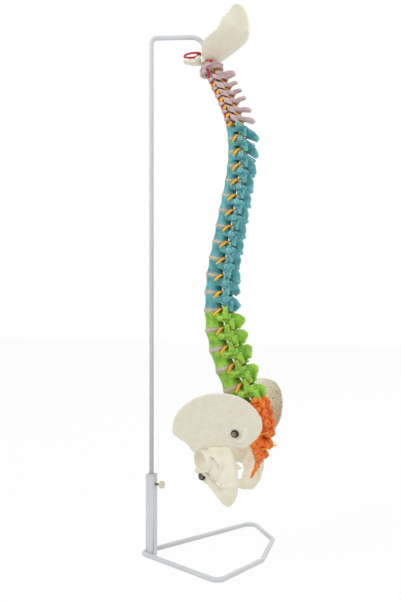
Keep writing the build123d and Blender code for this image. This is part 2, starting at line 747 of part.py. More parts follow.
def pelvis_screws():
    """Cross-head screws: one through each sacroiliac joint and one through both pubic bones."""
    screws = []
    for place, length in screw_axes():
        shank = Cylinder(pelvis_screw_d / 2, length, align=(Align.CENTER, Align.CENTER, Align.MIN))
        head = Pos(0, 0, -washer_height - screw_head_height) * Cylinder(
            screw_head_d / 2, screw_head_height, align=(Align.CENTER, Align.CENTER, Align.MIN)
        )
        head = fillet(head.edges().sort_by(Axis.Z)[0], head_edge)
        neck = Pos(0, 0, -washer_height) * Cylinder(
            pelvis_screw_d / 2, washer_height, align=(Align.CENTER, Align.CENTER, Align.MIN)
        )
        slot = Pos(0, 0, -washer_height - screw_head_height) * Box(*recess)
        screws.append(place * (shank + [neck, head] - [slot, Rot(0, 0, 90) * slot]))
    return screws


def screw_washers():
    """Rubber washers under the screw heads."""
    washers = []
    for place, length in screw_axes():
        ring = Pos(0, 0, -washer_height) * Cylinder(
            washer_d / 2, washer_height, align=(Align.CENTER, Align.CENTER, Align.MIN)
        )
        ring = fillet(ring.edges().group_by(Axis.Z)[0], washer_edge)
        washers.append(place * (ring - Cylinder(pelvis_screw_d / 2, 4 * washer_height)))
    return washers


def screw_seats():
    """Cutters for the screw holes and the flat seats under the washers."""
    cutters = []
    for place, length in screw_axes():
        hole = Cylinder(pelvis_screw_d / 2, length, align=(Align.CENTER, Align.CENTER, Align.MIN))
        seat = Pos(0, 0, -15) * Cylinder(washer_d / 2 + washer_fit, 30)
        cutters += [place * hole, place * seat]
    return cutters


# Occipital plate
def occipital_plate():
    """Curved plate with a toothed suture edge, the great opening, the base and two condyles."""
    x, z = skull_centre
    ball = Pos(x, mid_y, z) * (Sphere(skull_radius) - Sphere(skull_radius - skull_wall))
    edge = suture_edge()
    limit_x, limit_z = plate_limit
    low_corner = (limit_x, plate_outline[0][1])
    outline = Polyline(*(plate_outline + edge + [(limit_x, limit_z), low_corner]), close=True)
    prism = Pos(0, mid_y + 80, 0) * extrude(Plane.XZ * make_face(outline), 160)
    pieces = [in_middle(*skull_base), in_middle(*skull_crest)]
    start, end, start_size, end_size = condyle
    lobe = tapered(start, end, start_size, end_size)
    pieces += [Pos(0, mid_y, 0) * part for part in both_sides(lobe)]
    solid = (ball & prism) + pieces
    hole = Pos(foramen_x, mid_y, 865) * Rot(0, foramen_lean, 0) * extrude(Ellipse(*foramen), 30, both=True)
    return solid - hole


def suture_edge():
    """Zigzag line of the suture, from the side corner of the plate up to its top."""
    low, high = Vector(*suture_low), Vector(*suture_high)
    along_edge = (high - low).normalized()
    outwards = Vector(-along_edge.Y, along_edge.X)
    steps = 2 * suture_teeth
    points = [low]
    for n in range(1, steps):
        bow = 4 * suture_bow * n / steps * (1 - n / steps)
        tooth = suture_depth / 2 * (1 if n % 2 else -1)
        points.append(low + (high - low) * (n / steps) + outwards * (bow + tooth))
    return [(p.X, p.Y) for p in points + [high]]


# Cord, nerves and arteries
def canal_point(level, height=0.0):
    """Middle of the canal of a level."""
    return tuple((frames[level] * Location((canal_centre(level), 0, height))).position)


def spinal_cord():
    """Cord in the canal with a nerve root through each gap between the levels."""
    top = frames[2] * Location((canal_centre(2) - 2.0, 0, 34))
    points = [tuple(top.position)] + [canal_point(level) for level in range(2, sacral)]
    end = sacral_plate().location * Location((24, 0, -20))
    cord = tube(points + [tuple(end.position)], cord_d)
    roots = []
    for level in range(2, sacral):
        for root in both_sides(nerve_root(level)):
            roots.append(frames[level] * root)
    return cord + roots


def nerve_root(level, extra=0.0):
    """Nerve root below a level, in the level's frame: out of the gap, then forwards and down."""
    centre = canal_centre(level)
    step = 2 * axis_half if level == 2 else along(pitch, level)
    size = along(nerve_d, level) + extra
    wall = ring_size(level)[1] + along(arch_wall, level)
    if level < chest:
        middle = (neck_nerve_x, ring_size(level)[1] + 1, -step / 2)
        end = (neck_nerve_x - 1.0, along(body_width, level) / 2 + 9.5, -step / 2 - 1.0)
        return tube([(centre, 2.0, -step / 2 + 0.5), middle, end], size, [3.0])
    start = (centre, 2.0, -step / 2 + 3.5)
    middle = (centre - nerve_forward, wall + 1.0, -step / 2 + 2.0)
    side = max((along(body_width, level + 1) + along(nerve_d, level)) / 2 + 1.0, wall + 1.5)
    end = (centre - nerve_forward - nerve_length * 0.65, side, -step / 2 + 2.0 - nerve_length * 0.75)
    return tube([start, middle, end], size, [4.0])


def nerve_grooves(level):
    """Cutters that keep a level clear of the nerve roots above and below it."""
    cutters = []
    for n in (level - 1, level):
        if 2 <= n < sacral:
            cutters += [frames[n] * root for root in both_sides(nerve_root(n, 2 * nerve_fit))]
    return cutters


def artery(side, diameter):
    """Neck artery of one side, from the base of the skull down through the holes of the neck."""
    points = [(70, mid_y, 882), (86, mid_y + 9.5 * side, 869), (103, mid_y + 8.8 * side, 866.5)]
    x, y = atlas_hole
    for place in ((11, 13.5, 8.6), (x, y, 8.2), (x, y, -8.0)):
        points.append(tuple((atlas_frame * Location((place[0], place[1] * side, place[2]))).position))
    for level in (2, 3, 4, 5, 6):
        x, y = artery_hole_place(level)
        height = 8.0 if level == 2 else 0.0
        points.append(tuple((frames[level] * Location((x, y * side, height))).position))
    x, y = artery_hole_place(7)
    points.append(tuple((frames[7] * Location((x - 1, y * side, -4))).position))
    return tube(points, diameter, [2.2] * (len(points) - 2))


def vertebral_arteries():
    """Both neck arteries, joined on the base of the skull to the ring of brain arteries."""
    pieces = [artery(1, artery_d), artery(-1, artery_d)]
    basilar = tapered((69, mid_y, 881), (80.5, mid_y, 886.5), (2.4, 2.4), (2.6, 2.6))
    ring = Plane(Location((66, mid_y, 888), (0, 8, 0))) * Ellipse(circle_size[0] / 2, circle_size[1] / 2)
    path = ring.wire()
    circle = sweep(Plane(path @ 0, z_dir=path % 0) * Circle(brain_artery_d / 2.4), path=path)
    return circle + [basilar] + pieces


def sacral_nerves(extra=0.0):
    """Thin nerve roots that stand out of the upper holes of the sacrum."""
    points = sacral_points()
    tilts = [tilt for length, tilt in sacral_steps]
    roots = []
    for n, ((x, z), tilt, offset) in enumerate(zip(points[1:], tilts, hole_offsets[:root_pairs])):
        for side in (1, -1):
            height = 3 + (hole_d - sacral_nerve_d) / 2 + 0.3
            start = (root_out[0], offset * side, height)
            middle = (root_out[1], offset * side, height)
            end = (root_out[2] + 3 * (n % 2), (offset + 5) * side, height - 3 + n)
            roots.append(frame_at(x, z, tilt) * tube([start, middle, end], sacral_nerve_d + extra, [4.0]))
    return roots


def build():
    """Every node by its name."""
    eye, core = wire_eye(), tube(core_points(), core_d)
    artery_grooves = [artery(1, artery_d + 2 * nerve_fit), artery(-1, artery_d + 2 * nerve_fit)]
    cord, sacral_roots = spinal_cord(), sacral_nerves()
    nodes = {
        "stand_base": base_loop(),
        "stand_post": post(),
        "guide_bush": guide_bush(),
        "stand_rod": stand_rod(),
        "clamp_screw": clamp_screw(),
        "clamp_knob": clamp_knob(),
        "hanger_wire": eye,
        "core_socket": core_socket(eye, core),
        "core_cable": core,
        "occipital_plate": occipital_plate() - artery_grooves,
        "vertebra_c1": atlas_frame * atlas() - artery_grooves,
    }
    for level in range(2, sacral):
        bone = frames[level] * (axis_vertebra() if level == 2 else vertebra(level))
        cutters = nerve_grooves(level)
        if level < chest:
            bone += neck_disc(level)
            cutters += artery_grooves
        nodes[f"vertebra_{names[level - 1]}"] = bone - cutters
    for level in range(chest, sacral):
        below = "s1" if level + 1 == sacral else names[level]
        nodes[f"disc_{names[level - 1]}_{below}"] = disc(level)
    sacral_bone = sacrum() - cord
    for root in sacral_nerves(2 * root_fit):
        sacral_bone -= root
    cutters = screw_seats()
    right = Pos(0, mid_y, 0) * hip_bone() - sacral_bone
    left = mirror(right, Plane.XZ.offset(-mid_y))
    nodes["sacrum_and_coccyx"] = sacral_bone - cutters
    nodes["hip_bone_right"] = right - cutters
    nodes["hip_bone_left"] = left - cutters
    nodes["pubic_disc"] = pubic_disc() - cutters
    nodes["pelvis_screws"] = Compound(children=pelvis_screws())
    nodes["screw_washers"] = Compound(children=screw_washers())
    nodes["spinal_cord"] = cord
    nodes["sacral_nerves"] = Compound(children=sacral_roots)
    nodes["vertebral_arteries"] = vertebral_arteries()
    return nodes


os.makedirs("parts", exist_ok=True)
for node, part in build().items():
    write(part, node)
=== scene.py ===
import json
import math

import bpy
from mathutils import Matrix, Vector


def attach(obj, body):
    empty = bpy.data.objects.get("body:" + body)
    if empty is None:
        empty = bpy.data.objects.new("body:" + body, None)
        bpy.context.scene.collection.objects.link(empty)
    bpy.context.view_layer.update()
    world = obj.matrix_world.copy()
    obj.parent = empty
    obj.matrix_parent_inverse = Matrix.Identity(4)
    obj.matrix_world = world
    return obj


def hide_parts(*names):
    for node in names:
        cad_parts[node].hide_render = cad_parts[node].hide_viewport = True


bl_info = {
    "name": "Spine model dresser",
    "version": (1, 0, 0),
    "blender": (4, 5, 0),
    "location": "View3D > Sidebar > Spine model",
    "description": "Dresses the packed CAD parts of a flexible spine model on its stand",
    "category": "Object",
}

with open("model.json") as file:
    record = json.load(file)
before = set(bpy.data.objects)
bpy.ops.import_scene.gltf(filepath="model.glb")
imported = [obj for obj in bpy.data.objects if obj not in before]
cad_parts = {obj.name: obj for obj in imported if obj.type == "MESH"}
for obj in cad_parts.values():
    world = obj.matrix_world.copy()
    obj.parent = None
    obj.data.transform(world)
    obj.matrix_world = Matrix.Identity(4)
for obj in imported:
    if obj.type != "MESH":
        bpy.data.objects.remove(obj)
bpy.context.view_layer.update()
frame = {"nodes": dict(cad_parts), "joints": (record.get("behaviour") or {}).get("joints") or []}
NODES = frame["nodes"]
JOINTS = {joint["child"]: joint for joint in frame["joints"]}
NECK = [f"c{n}" for n in range(1, 8)]
CHEST = [f"t{n}" for n in range(1, 13)]
LOIN = [f"l{n}" for n in range(1, 6)]
LEVELS = NECK + CHEST + LOIN
COLUMN = ["head"] + LEVELS + ["pelvis"]
MM = 0.001
MID_Y = JOINTS["head"]["pos_m"][1] / MM
MIDDLE = Matrix.Translation(Vector((0, MID_Y, 0)) * MM) @ Matrix.Scale(MM, 4)

# Sizes by level in millimetres, C1 as 1 and L5 as 24, even between the levels that are given
BODY_DEPTH = {2: 15, 3: 14.5, 7: 17, 8: 18, 12: 24, 19: 31, 20: 33, 24: 35.4}
BODY_WIDTH = {2: 20, 3: 20, 7: 26, 8: 27, 12: 27.5, 19: 40, 20: 43, 24: 49.4}
CANAL_DEPTH = {2: 15, 7: 14, 8: 14.5, 24: 15.5}
CANAL_WIDTH = {2: 22, 7: 20, 8: 17, 12: 16, 19: 18, 20: 21, 24: 24}
ARCH_WALL = {2: 3.6, 7: 4, 8: 4.6, 19: 6, 24: 7}
ARCH_RISE = {2: 1.2, 7: 1.4, 8: 2.5, 19: 3.0, 24: 3.2}


def shade(red, green, blue):
    """Scene colour for an on-screen colour given from 0 to 255."""
    linear = []
    for value in (red, green, blue):
        share = value / 255
        linear.append(share / 12.92 if share <= 0.04045 else ((share + 0.055) / 1.055) ** 2.4)
    return tuple(linear)


def colour(name, text, value):
    """Colour property with its name, description and default."""
    return bpy.props.FloatVectorProperty(
        name=name, description=text, subtype="COLOR", min=0.0, max=1.0, default=value
    )


def distance(name, text, value):
    """Length property in metres."""
    return bpy.props.FloatProperty(name=name, description=text, default=value, unit="LENGTH")


class SpineColours(bpy.types.PropertyGroup):
    """Colours of the cast bones, the soft parts and the stand."""

    cream: colour("Cream bone", "Skull plate and hip bones", shade(241, 236, 214))
    mauve: colour("Neck bone", "Vertebrae of the neck", shade(208, 182, 184))
    teal: colour("Chest bone", "Vertebrae of the chest", shade(98, 180, 182))
    lime: colour("Loin bone", "Vertebrae of the loin", shade(152, 208, 60))
    orange: colour("Sacrum", "Sacrum and coccyx", shade(255, 130, 8))
    blotch: colour("Sacrum patches", "Darker patches on the sacrum", shade(216, 56, 16))
    disc: colour("Discs", "Discs between the bodies", shade(196, 190, 168))
    nerve: colour("Nerves", "Cord and nerve roots", shade(255, 184, 8))
    artery: colour("Arteries", "Neck and brain arteries", shade(214, 28, 28))
    paint: colour("Stand paint", "Painted bars and post", shade(214, 217, 221))
    knob: colour("Knob", "Plastic of the clamp knob", shade(232, 224, 196))
    steel: colour("Dark steel", "Screws", shade(112, 106, 92))


class SpineSizes(bpy.types.PropertyGroup):
    """Fineness of the cast surfaces."""

    neck_grain: distance("Neck fineness", "Cell of the neck's surfaces", 0.00075)
    chest_grain: distance("Chest fineness", "Cell of the chest's surfaces", 0.0009)
    loin_grain: distance("Loin fineness", "Cell of the loin's surfaces", 0.0011)
    pelvis_grain: distance("Pelvis fineness", "Cell of the pelvis' surfaces", 0.0013)
    soft_grain: distance("Soft fineness", "Cell of the nerves, arteries and discs", 0.0006)
    relief: distance("Relief", "Depth of the cast relief", 0.0005)


# Mesh work
def deselect():
    """Nothing selected, nothing in edit mode."""
    if bpy.context.mode != "OBJECT":
        bpy.ops.object.mode_set(mode="OBJECT")
    bpy.ops.object.select_all(action="DESELECT")


def pick(piece):
    """Only this piece selected and active."""
    deselect()
    piece.select_set(True)
    bpy.context.view_layer.objects.active = piece


def settle(piece, angle=40.0):
    """Place, turn and size go into the mesh, and shallow angles shade smooth."""
    pick(piece)
    bpy.ops.object.transform_apply(location=True, rotation=True, scale=True)
    bpy.ops.object.shade_smooth_by_angle(angle=math.radians(angle))
    return piece


def copy_of(node, name):
    """Merged copy of a CAD node's mesh, as its own object."""
    piece = bpy.data.objects.new(name, NODES[node].data.copy())
    bpy.context.scene.collection.objects.link(piece)
    piece.data.materials.clear()
    pick(piece)
    bpy.ops.object.mode_set(mode="EDIT")
    bpy.ops.mesh.select_all(action="SELECT")
    bpy.ops.mesh.remove_doubles(threshold=0.000002)
    face_out()
    return piece


def twin(piece, name):
    """Copy of a piece with its own mesh."""
    other = bpy.data.objects.new(name, piece.data.copy())
    bpy.context.scene.collection.objects.link(other)
    return other


def apply_all(piece):
    """Every modifier of a piece applied, in order."""
    pick(piece)
    for modifier in list(piece.modifiers):
        bpy.ops.object.modifier_apply(modifier=modifier.name)
    return piece


def relief_texture(name, size):
    """Cloud pattern for the unevenness of a cast surface."""
    texture = bpy.data.textures.get(name) or bpy.data.textures.new(name, "CLOUDS")
    texture.noise_scale = size
    texture.noise_depth = 2
    return texture


def cast(piece, cell, rounds, relief, relief_size):
    """Sharp CAD joints run together as in a soft mould: remeshed, smoothed and made uneven."""
    remesh = piece.modifiers.new("cells", "REMESH")
    remesh.mode = "VOXEL"
    remesh.voxel_size = cell
    remesh.use_smooth_shade = True
    smooth = piece.modifiers.new("soft joints", "SMOOTH")
    smooth.factor = 0.5
    smooth.iterations = rounds
    if relief:
        uneven = piece.modifiers.new("relief", "DISPLACE")
        uneven.texture = relief_texture(f"relief_{relief_size}", relief_size)
        uneven.texture_coords = "LOCAL"
        uneven.strength = relief
        uneven.mid_level = 0.55
    apply_all(piece)
    bpy.ops.object.shade_smooth()
    return piece


# Materials
def group_node(tree, group):
    """Node of a shader group."""
    node = tree.nodes.new("ShaderNodeGroup")
    node.node_tree = group
    return node


def new_group(name, inputs, outputs):
    """Empty shader group with its sockets. An input is (name, type, default)."""
    group = bpy.data.node_groups.new(name, "ShaderNodeTree")
    for label, kind, value in inputs:
        socket = group.interface.new_socket(name=label, in_out="INPUT", socket_type=kind)
        socket.default_value = value
    for label, kind in outputs:
        group.interface.new_socket(name=label, in_out="OUTPUT", socket_type=kind)
    start, end = group.nodes.new("NodeGroupInput"), group.nodes.new("NodeGroupOutput")
    return group, start, end


def maths(tree, action, first, second):
    """Math node. An argument is a socket or a number."""
    node = tree.nodes.new("ShaderNodeMath")
    node.operation = action
    for socket, value in zip(node.inputs, (first, second)):
        if isinstance(value, (int, float)):
            socket.default_value = value
        else:
            tree.links.new(value, socket)
    return node.outputs[0]


def span(tree, value, low, high, to_low, to_high):
    """Map Range node with clamping."""
    node = tree.nodes.new("ShaderNodeMapRange")
    tree.links.new(value, node.inputs["Value"])
    for name, number in (("From Min", low), ("From Max", high), ("To Min", to_low), ("To Max", to_high)):
        node.inputs[name].default_value = number
    return node.outputs["Result"]


def mix(tree, share, first, second):
    """Colour mix. A colour is a socket or a tuple."""
    node = tree.nodes.new("ShaderNodeMix")
    node.data_type = "RGBA"
    tree.links.new(share, node.inputs["Factor"])
    for socket, value in ((node.inputs[6], first), (node.inputs[7], second)):
        if isinstance(value, (tuple, list)):
            socket.default_value = (*value[:3], 1.0)
        else:
            tree.links.new(value, socket)
    return node.outputs[2]


def noise(tree, vector, scale, detail, roughness=0.5):
    """Noise value on a vector."""
    node = tree.nodes.new("ShaderNodeTexNoise")
    tree.links.new(vector, node.inputs["Vector"])
    node.inputs["Scale"].default_value = scale
    node.inputs["Detail"].default_value = detail
    node.inputs["Roughness"].default_value = roughness
    return node.outputs["Fac"]


def cast_group():
    """Tinted cast plastic: cloudy tone, fine specks, painted highlight on ridges and painted shade in hollows."""
    found = bpy.data.node_groups.get("cast plastic")
    if found:
        return found
    group, start, end = new_group(
        "cast plastic",
        [
            ("Vector", "NodeSocketVector", (0, 0, 0)),
            ("Colour", "NodeSocketColor", (0.8, 0.8, 0.8, 1)),
            # The second colour is the dark of the mottle and of the painted shade, the third the painted highlight
            ("Mottle and painted shade", "NodeSocketColor", (0.3, 0.3, 0.3, 1)),
            ("Painted highlight", "NodeSocketColor", (1, 1, 1, 1)),
            ("Curve", "NodeSocketFloat", 0.5),
            ("Gloss", "NodeSocketFloat", 0.45),
            ("Mottle", "NodeSocketFloat", 0.4),
        ],
        [("Colour", "NodeSocketColor"), ("Roughness", "NodeSocketFloat"), ("Height", "NodeSocketFloat")],
    )
    vector, curve = start.outputs["Vector"], start.outputs["Curve"]
    cloud = noise(group, vector, 95.0, 4.0)
    speck = noise(group, vector, 900.0, 2.0)
    # Painted shade: the dark colour laid into hollows found by pointiness; painted highlight: the pale colour laid
    # onto ridges
    painted_shade = span(group, curve, 0.44, 0.496, 0.9, 0.0)
    painted_highlight = span(group, curve, 0.504, 0.545, 0.0, 0.7)
    # The cloudy tone draws on the same dark colour at random, as the plastic's own mottle
    tone = maths(group, "MULTIPLY", span(group, cloud, 0.36, 0.66, 0.0, 1.0), start.outputs["Mottle"])
    toned = mix(group, tone, start.outputs["Colour"], start.outputs["Mottle and painted shade"])
    # Painted shade into the hollows, then painted highlight onto the ridges
    deep = mix(group, painted_shade, toned, start.outputs["Mottle and painted shade"])
    bright = mix(group, painted_highlight, deep, start.outputs["Painted highlight"])
    group.links.new(bright, end.inputs["Colour"])
    rough = span(group, cloud, 0.3, 0.7, -0.05, 0.07)
    group.links.new(maths(group, "ADD", rough, start.outputs["Gloss"]), end.inputs["Roughness"])
    fine = maths(group, "MULTIPLY", speck, 0.35)
    group.links.new(maths(group, "ADD", cloud, fine), end.inputs["Height"])
    return group


def new_material(name):
    """Material with one Principled shader; returns it with its tree, shader and Object coordinates."""
    material = bpy.data.materials.new(name)
    material.use_nodes = True
    tree = material.node_tree
    shader = tree.nodes["Principled BSDF"]
    place = tree.nodes.new("ShaderNodeTexCoord").outputs["Object"]
    return material, tree, shader, place


def bump(tree, shader, height, strength, depth):
    """Bump from a height into the shader's normal."""
    node = tree.nodes.new("ShaderNodeBump")
    node.inputs["Strength"].default_value = strength
    node.inputs["Distance"].default_value = depth
    tree.links.new(height, node.inputs["Height"])
    tree.links.new(node.outputs["Normal"], shader.inputs["Normal"])


def scaled(value, factor):
    """Colour made darker or lighter."""
    return tuple(min(1.0, channel * factor) for channel in value[:3])


def bone_material(name, value, painted_shade, painted_highlight, gloss=0.42, mottle=0.4, patches=None):
    """Cast bone in one tint, with optional darker patches, painted shade in its hollows and painted highlight on its
    ridges.
    """
    found = bpy.data.materials.get(name)
    if found:
        return found
    material, tree, shader, place = new_material(name)
    node = group_node(tree, cast_group())
    tree.links.new(place, node.inputs["Vector"])
    node.inputs["Colour"].default_value = (*value[:3], 1)
    if patches:
        patch = span(tree, noise(tree, place, 110.0, 4.0, 0.6), 0.50, 0.60, 0.0, 0.9)
        tree.links.new(mix(tree, patch, tuple(value), tuple(patches)), node.inputs["Colour"])
    # Colours of the painted shade in hollows, which also darkens the mottle, and of the painted highlight on ridges
    node.inputs["Mottle and painted shade"].default_value = (*painted_shade, 1)
    node.inputs["Painted highlight"].default_value = (*painted_highlight, 1)
    node.inputs["Gloss"].default_value = gloss
    node.inputs["Mottle"].default_value = mottle
    # Pointiness sets where the painted shade and the painted highlight fall
    tree.links.new(tree.nodes.new("ShaderNodeNewGeometry").outputs["Pointiness"], node.inputs["Curve"])
    tree.links.new(node.outputs["Colour"], shader.inputs["Base Color"])
    tree.links.new(node.outputs["Roughness"], shader.inputs["Roughness"])
    shader.inputs["Specular IOR Level"].default_value = 0.42
    shader.inputs["Subsurface Weight"].default_value = 0.04
    shader.inputs["Subsurface Radius"].default_value = (0.004, 0.003, 0.002)
    shader.inputs["Subsurface Scale"].default_value = 0.5
    bump(tree, shader, node.outputs["Height"], 0.35, 0.0004)
    return material


def metal_material(name, value, roughness, dirt):
    """Worked steel with fine uneven gloss and darker film in patches."""
    found = bpy.data.materials.get(name)
    if found:
        return found
    material, tree, shader, place = new_material(name)
    film = span(tree, noise(tree, place, 220.0, 4.0), 0.45, 0.7, 0.0, 0.8)
    gloss = span(tree, noise(tree, place, 900.0, 2.0), 0.3, 0.7, roughness, roughness + 0.2)
    tree.links.new(mix(tree, film, tuple(value), dirt), shader.inputs["Base Color"])
    tree.links.new(gloss, shader.inputs["Roughness"])
    shader.inputs["Metallic"].default_value = 1.0
    bump(tree, shader, noise(tree, place, 1400.0, 2.0), 0.15, 0.0001)
    return material


def paint_material(name, value):
    """Sprayed satin paint with slight orange peel."""
    found = bpy.data.materials.get(name)
    if found:
        return found
    material, tree, shader, place = new_material(name)
    tone = span(tree, noise(tree, place, 18.0, 3.0), 0.35, 0.65, 0.0, 1.0)
    tree.links.new(mix(tree, tone, tuple(value), scaled(value, 0.93)), shader.inputs["Base Color"])
    tree.links.new(span(tree, noise(tree, place, 60.0, 3.0), 0.3, 0.7, 0.28, 0.40), shader.inputs["Roughness"])
    shader.inputs["Coat Weight"].default_value = 0.25
    shader.inputs["Coat Roughness"].default_value = 0.18
    bump(tree, shader, noise(tree, place, 700.0, 2.0), 0.12, 0.0002)
    return material


def plastic_material(name, value, roughness):
    """Moulded or rubber-like material with fine grain."""
    found = bpy.data.materials.get(name)
    if found:
        return found
    material, tree, shader, place = new_material(name)
    tone = span(tree, noise(tree, place, 90.0, 3.0), 0.35, 0.65, 0.0, 1.0)
    tree.links.new(mix(tree, tone, tuple(value), scaled(value, 0.86)), shader.inputs["Base Color"])
    grain = noise(tree, place, 500.0, 2.0)
    tree.links.new(span(tree, grain, 0.3, 0.7, roughness - 0.05, roughness + 0.08), shader.inputs["Roughness"])
    bump(tree, shader, grain, 0.2, 0.0002)
    return material


def dress(piece, material, slot, *nodes):
    """Material and the CAD nodes that a piece stands for; the slot is not used."""
    piece.data.materials.clear()
    piece.data.materials.append(material)
    if nodes:
        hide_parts(*nodes)
    return piece


# The column line, read from the joints between the levels
def pivot(body):
    """Middle of the bend above a body of the column."""
    return Vector(JOINTS[body]["pos_m"])


def size_at(sizes, level):
    """Size at a level number, worked out evenly between the levels that state it."""
    below = max((k for k in sizes if k <= level), default=min(sizes))
    above = min((k for k in sizes if k >= level), default=max(sizes))
    if below == above:
        return sizes[below]
    share = (level - below) / (above - below)
    return sizes[below] + share * (sizes[above] - sizes[below])


class Level:
    """Place and sizes of one level of the column: X to the back, Z up the column, in millimetres."""

    def __init__(self, body):
        self.number = LEVELS.index(body) + 1
        upper, lower = pivot(body), pivot(COLUMN[COLUMN.index(body) + 1])
        up = (upper - lower).normalized()
        back = Vector((0, 1, 0)).cross(up)
        middle = (upper + lower) / 2
        self.place = Matrix.Translation(middle) @ Matrix((back, (0, 1, 0), up)).transposed().to_4x4()
        self.place = self.place @ Matrix.Scale(MM, 4)
        self.step = (upper - lower).length / MM
        self.canal = size_at(CANAL_DEPTH, self.number) / 2
        self.half_width = size_at(CANAL_WIDTH, self.number) / 2
        self.wall = size_at(ARCH_WALL, self.number)
        self.rise = size_at(ARCH_RISE, self.number)
        self.centre = size_at(BODY_DEPTH, self.number) / 2 + self.canal - 1.0

    def tips(self, node):
        """Ends of the spinous and the transverse process of a vertebra, found on its CAD mesh."""
        inverse = self.place.inverted()
        points = [inverse @ v.co for v in NODES[node].data.vertices]
        reach, spread = max(p.x for p in points), max(p.y for p in points)
        back = [p for p in points if p.x > reach - 1.0]
        side = [p for p in points if p.y > spread - 1.0]
        return sum(back, Vector()) / len(back), sum(side, Vector()) / len(side)


# Forms that are joined on before a surface is cast
TUBES = {}


def tube(rings):
    """Closed tube of a number of rings a metre apart, extruded once from a circle and copied."""
    if rings not in TUBES:
        deselect()
        bpy.ops.mesh.primitive_circle_add(vertices=16, radius=1.0, fill_type="NGON")
        first = bpy.context.active_object
        bpy.ops.object.mode_set(mode="EDIT")
        bpy.ops.mesh.select_all(action="SELECT")
        for _ in range(rings - 1):
            bpy.ops.mesh.extrude_region_move(TRANSFORM_OT_translate={"value": (0, 0, 1)})
        bpy.ops.object.mode_set(mode="OBJECT")
        TUBES[rings] = first.data.copy()
        bpy.data.objects.remove(first)
    piece = bpy.data.objects.new("form", TUBES[rings].copy())
    bpy.context.scene.collection.objects.link(piece)
    return piece


def form(stations, place):
    """Closed form through oval stations (x, y, z, half width, half height), given in millimetres."""
    points = [Vector(s[:3]) for s in stations]
    ways = []
    for n in range(len(points)):
        axis = (points[min(n + 1, len(points) - 1)] - points[max(n - 1, 0)]).normalized()
        guide = Vector((0, 1, 0)) if abs(axis.y) < 0.8 else Vector((1, 0, 0))
        across = (guide - axis * guide.dot(axis)).normalized()
        ways.append((across * stations[n][3], axis.cross(across) * stations[n][4]))
    piece = tube(len(stations))
    for vertex in piece.data.vertices:
        ring = round(vertex.co.z)
        across, up = ways[ring]
        vertex.co = place @ (points[ring] + across * vertex.co.x + up * vertex.co.y)
    return piece


def prism(outline, half_width):
    """Closed prism across the middle plane over an outline of (x, z), in millimetres."""
    deselect()
    bpy.ops.mesh.primitive_circle_add(vertices=len(outline), fill_type="NGON")
    piece = bpy.context.active_object
    for vertex, (x, z) in zip(piece.data.vertices, outline):
        vertex.co = Vector((x, MID_Y - half_width, z)) * MM
    bpy.ops.object.mode_set(mode="EDIT")
    bpy.ops.mesh.select_all(action="SELECT")
    bpy.ops.mesh.extrude_region_move(TRANSFORM_OT_translate={"value": (0, 2 * half_width * MM, 0)})
    face_out()
    return piece


def face_out():
    """In edit mode: every face turned outwards, then back to object mode."""
    bpy.ops.mesh.select_all(action="SELECT")
    bpy.ops.mesh.normals_make_consistent(inside=False)
    bpy.ops.object.mode_set(mode="OBJECT")


def lobe(start, end, width, height, place):
    """Rounded form between two ends, fullest in its middle."""
    start, end = Vector(start), Vector(end)
    stations = []
    for n in range(9):
        swell = max(0.12, math.sin(math.pi * (n + 0.001) / 8.002))
        share = 0.5 - 0.5 * math.cos(math.pi * n / 8)
        point = start + (end - start) * share
        stations.append((*point, width * swell, height * swell))
    return form(stations, place)


def mirrored(stations):
    """The same stations on the other side of the middle plane."""
    return [(s[0], -s[1], *s[2:]) for s in stations]


def join_forms(piece, forms):
    """Forms joined into a piece, with their faces turned outwards."""
    deselect()
    for item in (*forms, piece):
        item.select_set(True)
    bpy.context.view_layer.objects.active = piece
    bpy.ops.object.join()
    bpy.ops.object.mode_set(mode="EDIT")
    face_out()
    return piece


def fuse(piece, cell):
    """Overlapping shells made one closed surface."""
    remesh = piece.modifiers.new("cells", "REMESH")
    remesh.mode = "VOXEL"
    remesh.voxel_size = cell
    return apply_all(piece)


def carve(piece, cutter):
    """A cutter's shape taken out of a piece."""
    change = piece.modifiers.new("carve", "BOOLEAN")
    change.operation = "DIFFERENCE"
    change.solver = "EXACT"
    change.object = cutter
    apply_all(piece)
    bpy.data.objects.remove(cutter)
    return piece


def ball(centre, radius):
    """Closed sphere in millimetres."""
    deselect()
    place = Vector(centre) * MM
    bpy.ops.mesh.primitive_uv_sphere_add(segments=48, ring_count=24, radius=radius * MM, location=place)
    return settle(bpy.context.active_object)


def cut(piece, point, normal):
    """Keeps the part of a piece on the far side of a plane and closes the cut."""
    pick(piece)
    bpy.ops.object.mode_set(mode="EDIT")
    bpy.ops.mesh.select_all(action="SELECT")
    bpy.ops.mesh.bisect(plane_co=point, plane_no=normal, use_fill=True, clear_inner=True)
    bpy.ops.object.mode_set(mode="OBJECT")
    return piece


def column_slices(whole, label, material, slot, node, bodies):
    """Cuts a long soft part at the middle of each level; a length follows the body above its joint."""
    for n, (upper, lower) in enumerate(zip(bodies, bodies[1:])):
        joint = pivot(lower)
        above = pivot(upper) if upper in JOINTS and upper != "head" else None
        below = pivot(bodies[n + 2]) if n + 2 < len(bodies) else None
        piece = twin(whole, f"{label}_{upper}_{lower}")
        if above and n > 0:
            cut(piece, (above + joint) / 2, (joint - above).normalized())
        if below:
            cut(piece, (joint + below) / 2, (joint - below).normalized())
        if len(piece.data.polygons) == 0:
            bpy.data.objects.remove(piece)
            continue
        pick(piece)
        bpy.ops.object.shade_smooth_by_angle(angle=math.radians(50))
        dress(piece, material, slot, node)
        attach(piece, upper)
    deselect()
    bpy.data.objects.remove(whole)


